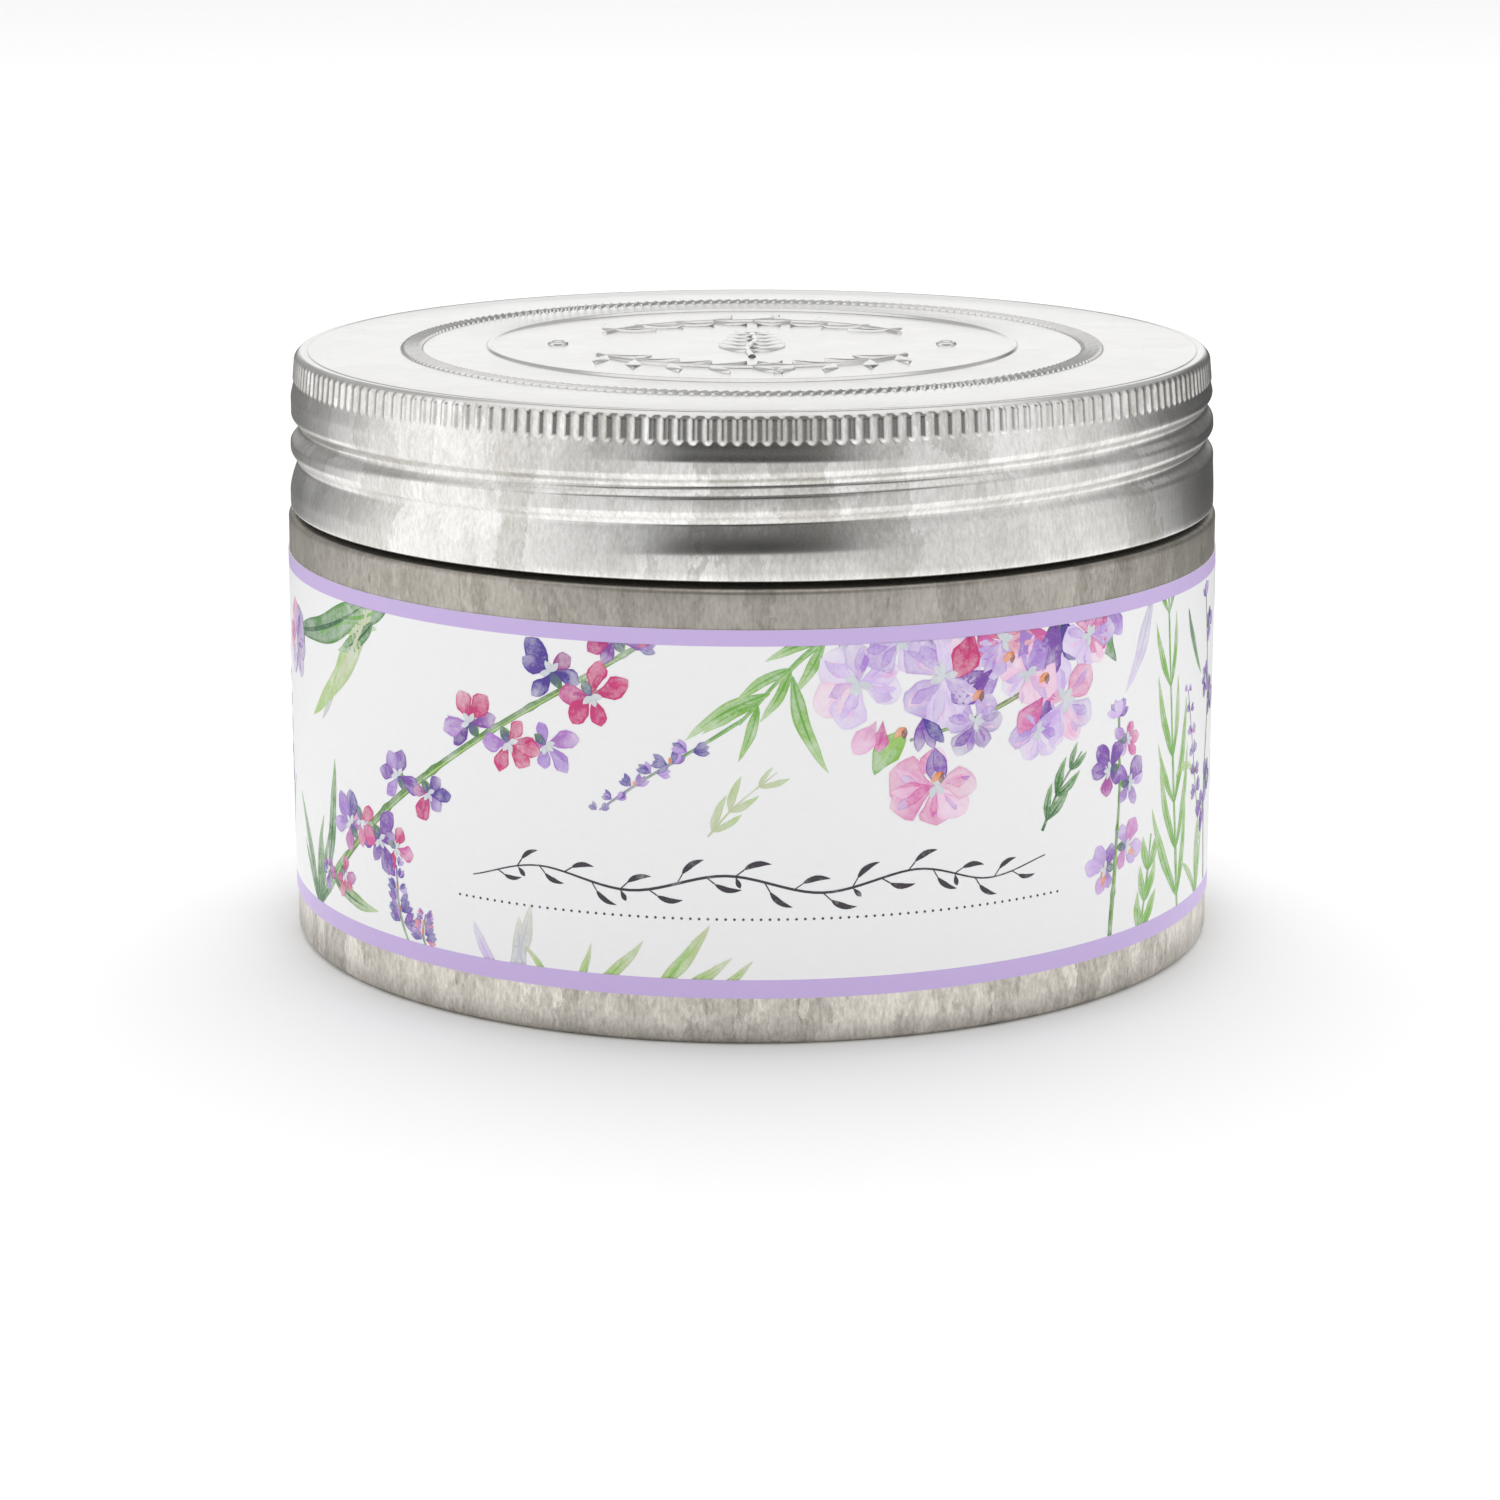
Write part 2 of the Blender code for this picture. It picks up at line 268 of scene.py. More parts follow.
def bump(tree, shader, height, distance, strength=1.0):
    """Give the shader a bump from a height value."""
    item = add_node(tree, "ShaderNodeBump", Height=height, Distance=distance, Strength=strength)
    feed(tree, shader, Normal=item.outputs["Normal"])


NOISE_MIDDLE = (0.3, 0.7)
GRAIN_SCALE = 2400.0
GRAIN_UPRIGHT = 0.36
CRYSTAL_WARP = 0.006
# Heights over which the can's painted light fades from a lighter foot (painted floor reflection) to a darker
# shoulder (painted shade under the lid)
PAINTED_LIGHT_FOOT_Z = 10.0 * MM
PAINTED_SHADE_TOP_Z = 48.0 * MM
CALM_BLUR = 0.4 * MM
CALM_SHARE = 0.8
CALM_SHADE = 0.72


def galvanised(name, dark, light, roughness, patch, upright, weights, grain_depth,
               calm_above=None, painted_light_and_shade=None):
    """Hot-dip spangle: crystals, mottled streaks and fine grain on bare metal, mixed by their weights.

    patch is the number of crystals to the metre and upright squeezes it along z. Above the height
    calm_above the metal is smoother and more even. The pair of factors that follows calm_above paints
    light and shade into the crystals' brightness: a painted floor reflection lightens the foot and
    painted shade under the lid darkens the shoulder.
    """
    material, tree, shader = new_material(name)
    across = stretch(tree, (1.0, 1.0, upright))
    warp = add_node(tree, "ShaderNodeTexNoise", Vector=across, Scale=patch * 3.0, Detail=5.0, Roughness=0.65)
    bent = add_node(tree, "ShaderNodeMix", {"data_type": 'VECTOR'}, i0=CRYSTAL_WARP, i4=across,
                    i5=warp.outputs["Color"])
    cells = add_node(tree, "ShaderNodeTexVoronoi", Vector=bent.outputs[1], Scale=patch)
    crystal = add_node(tree, "ShaderNodeSeparateColor", Color=cells.outputs["Color"]).outputs[0]
    mottle = remap(tree, noise(tree, across, patch * 1.4, 7.0, 0.68, 0.3), *NOISE_MIDDLE, 0.0, 1.0)
    fibres = stretch(tree, (1.0, 1.0, GRAIN_UPRIGHT))
    grain = remap(tree, noise(tree, fibres, GRAIN_SCALE, 4.0, 0.7), *NOISE_MIDDLE, 0.0, 1.0)
    shade = combine(tree, crystal, weights[0], 'MULTIPLY')
    for layer, weight in ((mottle, weights[1]), (grain, weights[2])):
        shade = combine(tree, shade, combine(tree, layer, weight, 'MULTIPLY'))
    height = add_node(tree, "ShaderNodeSeparateXYZ", Vector=stretch(tree, (1.0, 1.0, 1.0))).outputs["Z"]
    # Painted light and shade: brightness scaled up at the foot and down towards the shoulder, by height
    if painted_light_and_shade:
        shade = combine(tree, shade, remap(tree, height, PAINTED_LIGHT_FOOT_Z, PAINTED_SHADE_TOP_Z, *painted_light_and_shade), 'MULTIPLY')
    if calm_above:
        calm = remap(tree, height, calm_above, calm_above + CALM_BLUR, 0.0, CALM_SHARE)
        shade = add_node(tree, "ShaderNodeMix", i0=calm, i2=shade, i3=CALM_SHADE).outputs[0]
    feed(tree, shader, Metallic=1.0, Base_Color=blend_colours(tree, shade, dark, light),
         Roughness=remap(tree, shade, 0.0, 1.0, roughness[1], roughness[0]))
    bump(tree, shader, shade, grain_depth, 0.5)
    return material


def plain_metal(name, colour, roughness):
    """Thin tinplate with a faint rolled grain."""
    material, tree, shader = new_material(name)
    streak = noise(tree, stretch(tree, (1.0, 8.0, 1.0)), 500.0, 5.0)
    lighter = tuple(min(1.0, value * 1.25) for value in colour)
    feed(tree, shader, Metallic=1.0, Base_Color=blend_colours(tree, streak, colour, lighter),
         Roughness=remap(tree, streak, *NOISE_MIDDLE, roughness, roughness + 0.15))
    bump(tree, shader, streak, 0.01 * MM)
    return material


def soft_matter(name, colour, second, scale, roughness, depth):
    """Matt stuff with a mottled colour and a soft relief: paper, foam, wax or cotton."""
    material, tree, shader = new_material(name)
    mottle = noise(tree, stretch(tree, (1.0, 1.0, 1.0)), scale, 5.0)
    feed(tree, shader,
         Base_Color=blend_colours(tree, remap(tree, mottle, 0.35, 0.65, 0.0, 1.0), colour, second),
         Roughness=remap(tree, mottle, *NOISE_MIDDLE, roughness, roughness + 0.1))
    bump(tree, shader, mottle, depth)
    return material


def coated_paper(name, colour):
    """Satin label stock: fine tooth, slight sheen."""
    material = soft_matter(name, colour, tuple(value * 0.99 for value in colour), 900.0, 0.36, 0.003 * MM)
    material.node_tree.nodes["Principled BSDF"].inputs["Specular IOR Level"].default_value = 0.4
    return material


def watercolour(name, paper):
    """Printed pigment: its colour per point, thinner washes, pooled edges and granulation."""
    material, tree, shader = new_material(name)
    ink = add_node(tree, "ShaderNodeAttribute", {"attribute_name": "ink"})
    edge = add_node(tree, "ShaderNodeAttribute", {"attribute_name": "edge"}).outputs["Fac"]
    vector = stretch(tree, (1.0, 1.0, 1.0))
    pool = remap(tree, noise(tree, vector, 420.0, 4.0, 0.6, 0.4), *NOISE_MIDDLE, 0.62, 1.18)
    grains = remap(tree, noise(tree, vector, 2800.0, 3.0), *NOISE_MIDDLE, 0.86, 1.08)
    strength = combine(tree, combine(tree, pool, grains, 'MULTIPLY'), ink.outputs["Alpha"], 'MULTIPLY')
    rim = remap(tree, edge, 0.72, 1.0, 0.0, 0.3)
    strength = add_node(tree, "ShaderNodeMath", {"operation": 'ADD', "use_clamp": True}, i0=strength, i1=rim)
    feed(tree, shader, Roughness=0.42, Specular_IOR_Level=0.4,
         Base_Color=blend_colours(tree, strength.outputs[0], paper, ink.outputs["Color"]))
    return material


# ---------------------------------------------------------------- lid

KNURL_TEETH = 216
KNURL_LOW_Z = 68.75 * MM
KNURL_HIGH_Z = 71.85 * MM
KNURL_HEIGHT = 0.2 * MM
KNURL_HALF_WIDTH = 0.42 * MM
COLUMNS_PER_TOOTH = 8
LID_COLUMNS = KNURL_TEETH * COLUMNS_PER_TOOTH
LID_TOP_WALL_R = 55.9 * MM
LID_KNURL_WIDER = 0.3 * MM
LID_CREST_WIDER = 0.45 * MM
LID_LOWER_WIDER = 0.15 * MM
LID_EDGE_R = 0.85 * MM
CREASE_R = 54.65 * MM
CREASE_HALF = 0.34 * MM
CREASE_DEPTH = 0.13 * MM
GROOVE_UP = 1.45 * MM
GROOVE_DOWN = 1.25 * MM
GROOVE_FOOT = 3.3 * MM
GROOVE_DEPTH = 0.72 * MM
GROOVE_DEEPER = 0.26 * MM
GROOVE_SKEW = 0.8 * MM
GROOVE_SIDE_WIDER = 0.34
GROOVE_SIDE_DEEPER = 0.15 * MM
GROOVE_SETTLES = (radians(75.0), radians(65.0))
GROOVE_MIDDLE_IN = (radians(90.0), radians(80.0))
GROOVE_MIDDLE_OUT = (radians(265.0), radians(70.0))
HATCH_DASHES = 216
HATCH_IN_R = 40.5 * MM
HATCH_OUT_R = 43.1 * MM
HATCH_HALF_WIDTH = 0.33 * MM
HATCH_HEIGHT = 0.34 * MM
HATCH_SLANT = 0.65
HATCH_BED_DEPTH = 0.1 * MM
HATCH_BED_BLUR = 0.3 * MM
PANEL_RING_R = 32.3 * MM
PANEL_RING_HALF = 0.6 * MM
HEM = 0.85 * MM
HEM_HEIGHT = 1.2 * MM
SWELL_TOP_Z = KNURL_LOW_Z + 0.2 * MM
SWELL_DROP = 2.1 * MM
DRIFT_TOP_Z = 65.5 * MM
DRIFT_DROP = 4.0 * MM
FLARE_TOP_Z = 59.8 * MM
FLARE_DROP = 4.6 * MM


def lid_wall_radius(z):
    """Outside of the lid's wall: knurled band, threaded band, then a skirt that widens to the hem."""
    lean = 1.0 - np.clip((z - KNURL_LOW_Z) / (KNURL_HIGH_Z - KNURL_LOW_Z), 0.0, 1.0)
    below_knurl = np.clip((SWELL_TOP_Z - z) / SWELL_DROP, 0.0, 1.0)
    swell = 0.5 * below_knurl + 0.5 * smooth_step(below_knurl)
    drift = smooth_step((DRIFT_TOP_Z - z) / DRIFT_DROP)
    flare = smooth_step((FLARE_TOP_Z - z) / FLARE_DROP)
    before_flare = LID_TOP_WALL_R + LID_KNURL_WIDER + LID_CREST_WIDER + LID_LOWER_WIDER
    return (LID_TOP_WALL_R + lean * LID_KNURL_WIDER + swell * LID_CREST_WIDER + drift * LID_LOWER_WIDER
            + flare * (LID_SKIRT_R - before_flare))


def lid_groove(angles, heights):
    """Depth of the rolled groove: a lap and three quarters, with a long foot where it starts."""
    depth = np.zeros(np.broadcast(angles, heights).shape)
    skew = GROOVE_SKEW * (0.5 + 0.5 * np.cos(angles)) ** 2
    side = np.cos(angles) ** 2
    wider = 1.0 + GROOVE_SIDE_WIDER * side
    for lap_angle, offset, fade in helix_laps(angles, heights - skew, LID_GROOVE):
        settled = smooth_step((lap_angle + GROOVE_SETTLES[0]) / GROOVE_SETTLES[1])
        ramp = np.clip(1.0 + offset / GROOVE_FOOT, 0.0, 1.0) ** 1.5
        below = ramp + (raised_cosine(offset, GROOVE_DOWN * wider) - ramp) * settled
        shape = np.where(offset > 0.0, raised_cosine(offset, GROOVE_UP * wider), below)
        middle = smooth_step((lap_angle + GROOVE_MIDDLE_IN[0]) / GROOVE_MIDDLE_IN[1])
        middle = middle * smooth_step((GROOVE_MIDDLE_OUT[0] - lap_angle) / GROOVE_MIDDLE_OUT[1])
        depth = depth + fade * shape * (GROOVE_DEPTH + GROOVE_DEEPER * middle + GROOVE_SIDE_DEEPER * side)
    return depth


def capsule(across, along):
    """Rounded relief from 0 to 1 at distances in half widths from a rib's middle line and ends."""
    return np.sqrt(np.clip(1.0 - across ** 2 - np.clip(along, 0.0, None) ** 2, 0.0, None))


def repeat_offset(angles, count, radius):
    """Distance along the circle from the middle of the nearest of count evenly spaced ribs."""
    share = angles / TAU * count
    return (share - np.round(share)) * TAU / count * radius


def lid_profile():
    """Profile rows from the panel's centre, over the edge, down the wall, round the hem and back."""
    edge_r = LID_TOP_WALL_R - LID_EDGE_R
    hem_r = HEM / 2.0
    hem_z = LID_BOTTOM_Z + hem_r
    ring_low = PANEL_RING_R - PANEL_RING_HALF
    ring_high = PANEL_RING_R + PANEL_RING_HALF
    margin = 0.4 * MM
    top = [line(0.0, PANEL_Z, ring_low - MM, PANEL_Z, 3),
           line(ring_low, PANEL_Z, ring_high, PANEL_Z, 12),
           line(HATCH_IN_R - margin, PANEL_Z, HATCH_OUT_R + margin, PANEL_Z, 24),
           line(CREASE_R - CREASE_HALF, PANEL_Z, CREASE_R + CREASE_HALF, PANEL_Z, 10),
           line(CREASE_R + CREASE_HALF + 0.02 * MM, PANEL_Z, edge_r, PANEL_Z, 1),
           arc(edge_r, PANEL_Z - LID_EDGE_R, LID_EDGE_R, 80.0, 10.0, 7)]
    wall = line(0.0, PANEL_Z - LID_EDGE_R, 0.0, LID_BOTTOM_Z + 1.1 * MM, 96)
    wall[:, 0] = lid_wall_radius(wall[:, 1])
    hem = [arc(LID_SKIRT_R - hem_r, hem_z, hem_r, 0.0, -180.0, 10),
           line(LID_SKIRT_R - HEM, hem_z + 0.3 * MM, LID_SKIRT_R - WALL, LID_BOTTOM_Z + HEM_HEIGHT, 3)]
    inner = line(0.0, LID_BOTTOM_Z + 1.6 * MM, 0.0, PANEL_Z - LID_EDGE_R, 36)
    inner[:, 0] = lid_wall_radius(inner[:, 1]) - WALL
    under = [arc(edge_r, PANEL_Z - LID_EDGE_R, LID_EDGE_R - WALL, 15.0, 90.0, 5),
             line(30.0 * MM, PANEL_Z - WALL, 0.0, PANEL_Z - WALL, 2)]
    outside = np.concatenate(top + [wall])
    rest = np.concatenate(hem + [inner] + under)
    return outside, rest


def build_lid(material):
    """The screw lid with its knurl, rolled groove, raised ring and ring of dashes."""
    outside, rest = lid_profile()
    profile = np.concatenate([outside, rest])
    angles, radii, heights = turned(profile, LID_COLUMNS)

    on_wall = (profile[:, :1] > 50.0 * MM) & (profile[:, 1:] > LID_BOTTOM_Z + HEM_HEIGHT)
    radii = radii - on_wall * lid_groove(angles, heights)

    is_outside = (np.arange(len(profile)) < len(outside))[:, None]
    across = repeat_offset(angles, KNURL_TEETH, LID_TOP_WALL_R) / KNURL_HALF_WIDTH
    middle_z = (KNURL_LOW_Z + KNURL_HIGH_Z) / 2.0
    reach = (KNURL_HIGH_Z - KNURL_LOW_Z) / 2.0 - KNURL_HALF_WIDTH
    along = (np.abs(heights - middle_z) - reach) / KNURL_HALF_WIDTH
    on_rim = is_outside & (profile[:, :1] > 55.0 * MM)
    radii = radii + on_rim * KNURL_HEIGHT * capsule(across, along)

    flat = is_outside & (profile[:, 1:] == PANEL_Z)
    ring = raised_cosine(radii - PANEL_RING_R, PANEL_RING_HALF)
    crease = raised_cosine(radii - CREASE_R, CREASE_HALF)
    heights = heights + flat * (PANEL_RING_HEIGHT * ring - CREASE_DEPTH * crease)
    hatch_r = (HATCH_IN_R + HATCH_OUT_R) / 2.0
    hatch_half = (HATCH_OUT_R - HATCH_IN_R) / 2.0
    slanted = angles + HATCH_SLANT * (radii - hatch_r) / hatch_r
    across = repeat_offset(slanted, HATCH_DASHES, hatch_r) / HATCH_HALF_WIDTH
    along = (np.abs(radii - hatch_r) - hatch_half + HATCH_HALF_WIDTH) / HATCH_HALF_WIDTH
    bed = smooth_step((hatch_half + HATCH_BED_BLUR - np.abs(radii - hatch_r)) / HATCH_BED_BLUR)
    heights = heights + flat * (HATCH_HEIGHT * capsule(across, along) - HATCH_BED_DEPTH * bed)
    lid = shell("lid_metal", radii, heights, angles, [material], sharp=50.0)
    return place(lid, "lid", "lid_shell", "lid_shell")


# ---------------------------------------------------------------- can body

BODY_COLUMNS = 720
FOOT_CORNER_R = 1.2 * MM
BASE_RECESS = 1.0 * MM
STANDING_RING_R = 52.0 * MM
SHOULDER_R = 0.7 * MM
SHOULDER_DROP = 0.52 * MM
NECK_FILLET_R = 0.6 * MM
NECK_RISE = 1.4 * MM
NECK_BEAD_ABOVE = 1.3 * MM
NECK_BEAD_BELOW_RIM = 1.45 * MM
CURL_R = 0.75 * MM


def tin_profile():
    """Profile rows from the floor's centre up the inside, over the rim and down the outside."""
    corner, recess, ring_in, curl, fillet = FOOT_CORNER_R, BASE_RECESS, STANDING_RING_R, CURL_R, NECK_FILLET_R
    shoulder_r, shoulder_z = BODY_R - SHOULDER_R, SHOULDER_Z - SHOULDER_DROP
    neck_low = SHOULDER_Z + NECK_RISE
    rows = [line(0.0, recess + WALL, ring_in - 1.2 * MM, recess + WALL, 6),
            line(ring_in - 0.9 * MM, recess + WALL - 0.1 * MM, ring_in, WALL + 0.05 * MM, 3),
            arc(BODY_R - corner, corner, corner - WALL, -90.0, 0.0, 6),
            line(BODY_R - WALL, 3.0 * MM, BODY_R - WALL, 50.0 * MM, 10),
            arc(shoulder_r, shoulder_z, SHOULDER_R - WALL, 0.0, 90.0, 6),
            arc(NECK_R - WALL + fillet, neck_low - 0.55 * MM, fillet, -110.0, -170.0, 4),
            line(NECK_R - WALL, neck_low, NECK_R - WALL, RIM_Z - 2.0 * curl, 60),
            arc(NECK_R - curl, RIM_Z - curl, curl, 225.0, 0.0, 18),
            line(NECK_R, RIM_Z - 2.0 * curl, NECK_R, neck_low, 60),
            arc(NECK_R + fillet, neck_low - 0.2 * MM, fillet, 190.0, 260.0, 4),
            arc(shoulder_r, shoulder_z, SHOULDER_R, 90.0, 0.0, 8),
            line(BODY_R, 51.0 * MM, BODY_R, 1.6 * MM, 24),
            arc(BODY_R - corner, corner, corner, 0.0, -90.0, 8),
            line(ring_in, 0.0, ring_in - 0.2 * MM, 0.1 * MM, 1),
            line(ring_in - 0.9 * MM, recess - 0.1 * MM, ring_in - 1.2 * MM, recess, 1),
            line(ring_in - 4.0 * MM, recess, 0.0, recess, 6)]
    return np.concatenate(rows)


def build_tin(material):
    """The drawn can with its rolled neck thread."""
    profile = tin_profile()
    angles, radii, heights = turned(profile, BODY_COLUMNS)
    neck = ((profile[:, 1:] > SHOULDER_Z + NECK_BEAD_ABOVE)
            & (profile[:, 1:] < RIM_Z - NECK_BEAD_BELOW_RIM))
    for _, offset, fade in helix_laps(angles, heights, NECK_BEAD):
        radii = radii + neck * THREAD_DEPTH * fade * raised_cosine(offset, PITCH / 2.0)
    tin = shell("tin_metal", radii, heights, angles, [material], sharp=50.0)
    return place(tin, "tin", "tin_body", "tin_body")


# ---------------------------------------------------------------- label

LABEL_COLUMNS = 720
LABEL_OVERLAP = radians(6.0)
OVERLAP_RAMP = radians(1.5)
SEAM_ANGLE = radians(90.0)


def overlap_climb(travelled):
    """How far the label's surface stands out where its end lies over its start, from 0 to 1."""
    if travelled < LABEL_OVERLAP:
        return 1.0
    return float(smooth_step((travelled - TAU + OVERLAP_RAMP) / OVERLAP_RAMP))


def label_point(u, v, lift):
    """Point on the label, u along it to the right of the front's middle, v its height."""
    angle = u / LABEL_R
    radius = LABEL_R + lift + (PAPER + GLUE) * overlap_climb((angle - pi) % TAU)
    return (radius * sin(angle), -radius * cos(angle), v)


def build_label(paper, band):
    """The wrap label: a strip that overlaps itself at the back, with coloured bands at its edges."""
    stations = [LABEL_LOW.z, LABEL_LOW.z + BAND_LOW]
    stations += list(np.linspace(LABEL_LOW.z + BAND_LOW, LABEL_HIGH.z - BAND_HIGH, 9))[1:]
    stations.append(LABEL_HIGH.z)
    turn = TAU + LABEL_OVERLAP
    columns = LABEL_COLUMNS + 12
    verts = []
    for column in range(columns + 1):
        travelled = turn * column / columns
        angle = SEAM_ANGLE + travelled
        climb = smooth_step((travelled - TAU + OVERLAP_RAMP) / OVERLAP_RAMP)
        inner = BODY_R + GLUE + float(climb) * (PAPER + GLUE)
        section = [(inner + PAPER, z) for z in stations] + [(inner, z) for z in reversed(stations)]
        verts += [(r * cos(angle), r * sin(angle), z) for r, z in section]
    size = 2 * len(stations)
    band_rows = (0, len(stations) - 2)
    inks = [int(row in band_rows) for row in range(size)] * columns + [0, 0]
    label = add_mesh("label_paper", verts, tube_faces(columns + 1, size), [paper, band], 40.0, inks)
    return place(label, "tin", "body_label", "body_label")


class Strokes:
    """Brush marks or raised ridges: lens-shaped closed bodies along paths on a surface."""

    def __init__(self, surface, base, crown, sunk, step=0.0, wide=1.0, sides=None, power=2.0):
        self.surface = surface
        self.base = base
        self.crown = crown
        self.sunk = sunk
        self.step = step
        self.wide = wide
        self.sides = sides
        self.power = power
        self.verts = []
        self.faces = []
        self.ink = []
        self.edge = []
        self.random = random.Random(11)

    def mark(self, path, half_widths, first=(0.5, 0.5, 0.5), last=None, wash=(1.0, 1.0), wobble=0.0,
             layer=0):
        """One mark; path is in the surface's own two coordinates, colours run from first to last."""
        last = last or first
        steps = len(path)
        lift = self.base + self.step * (layer + self.random.random())
        across = 3 if max(half_widths) < self.wide else 6
        sides = self.sides or [2.0 * k / across - 1.0 for k in range(across + 1)]
        loop = [(s, True) for s in sides] + [(s, False) for s in reversed(sides[1:-1])]
        phases = [self.random.uniform(0.0, TAU) for _ in range(4)]
        start = len(self.verts)
        for index, (u, v) in enumerate(path):
            share = index / (steps - 1)
            before = path[max(0, index - 1)]
            after = path[min(steps - 1, index + 1)]
            run = hypot(after[0] - before[0], after[1] - before[1]) or 1.0
            normal = (-(after[1] - before[1]) / run, (after[0] - before[0]) / run)
            left = 1.0 + wobble * (sin(phases[0] + 7.0 * share) + sin(phases[1] + 17.0 * share))
            right = 1.0 + wobble * (sin(phases[2] + 6.0 * share) + sin(phases[3] + 19.0 * share))
            colour = [a + (b - a) * share for a, b in zip(first, last)]
            strength = wash[0] + (wash[1] - wash[0]) * share
            for side, upper in loop:
                reach = side * half_widths[index] * (left if side < 0.0 else right)
                height = lift + self.crown * (1.0 - abs(side) ** self.power) if upper else -self.sunk
                self.verts.append(self.surface(u + normal[0] * reach, v + normal[1] * reach, height))
                self.ink.append((*colour, strength))
                self.edge.append(abs(side))
        self.faces += tube_faces(steps, len(loop), start)

    def build(self, name, material):
        """Make one object of all the marks."""
        item = add_mesh(name, self.verts, self.faces, [material], 60.0)
        ink = item.data.attributes.new("ink", 'FLOAT_COLOR', 'POINT')
        ink.data.foreach_set("color", [value for colour in self.ink for value in colour])
        edge = item.data.attributes.new("edge", 'FLOAT', 'POINT')
        edge.data.foreach_set("value", self.edge)
        return item


def through(points, steps):
    """Smooth curve through a few points (Catmull-Rom), steps to each span."""
    before = [2 * a - b for a, b in zip(points[0], points[1])]
    after = [2 * a - b for a, b in zip(points[-1], points[-2])]
    control = [before, *points, after]
    path = []
    for span in range(len(points) - 1):
        for k in range(steps):
            t = k / steps
            path.append(tuple(0.5 * (2 * b + (c - a) * t + (2 * a - 5 * b + 4 * c - d) * t * t
                                     + (3 * b - a - 3 * c + d) * t ** 3)
                              for a, b, c, d in zip(*control[span:span + 4])))
    path.append(tuple(points[-1]))
    return path


def heading(path, index, ahead=1):
    """Direction of a path from one of its points to a later one, in degrees."""
    here, there = path[index], path[index + ahead]
    return atan2(there[1] - here[1], there[0] - here[0]) * 180.0 / pi


# ---------------------------------------------------------------- painted garden

VIOLET = srgb(84, 62, 156)
PURPLE = srgb(128, 78, 174)
LILAC = srgb(172, 132, 212)
PINK = srgb(216, 98, 168)
HOT_PINK = srgb(206, 56, 122)
PALE_PINK = srgb(236, 178, 216)
PALE_LILAC = srgb(208, 180, 234)
SILVER = srgb(200, 206, 212)
STEM = srgb(92, 134, 66)
LEAF = srgb(104, 168, 66)
LEAF_LIGHT = srgb(158, 198, 100)
LEAF_DARK = srgb(38, 98, 52)
GREY_LILAC = srgb(196, 196, 212)
SAGE = srgb(200, 204, 176)
ORANGE = srgb(226, 124, 30)
BROWN = srgb(126, 64, 46)
GREY = srgb(70, 68, 74)
INK = srgb(58, 52, 60)
PAPER_WHITE = srgb(238, 238, 239)

PETAL_LAYERS = 8
HEADS_ON_STEM = 6
FLORET_WASH = 0.88
BLOSSOM_PETALS = 6


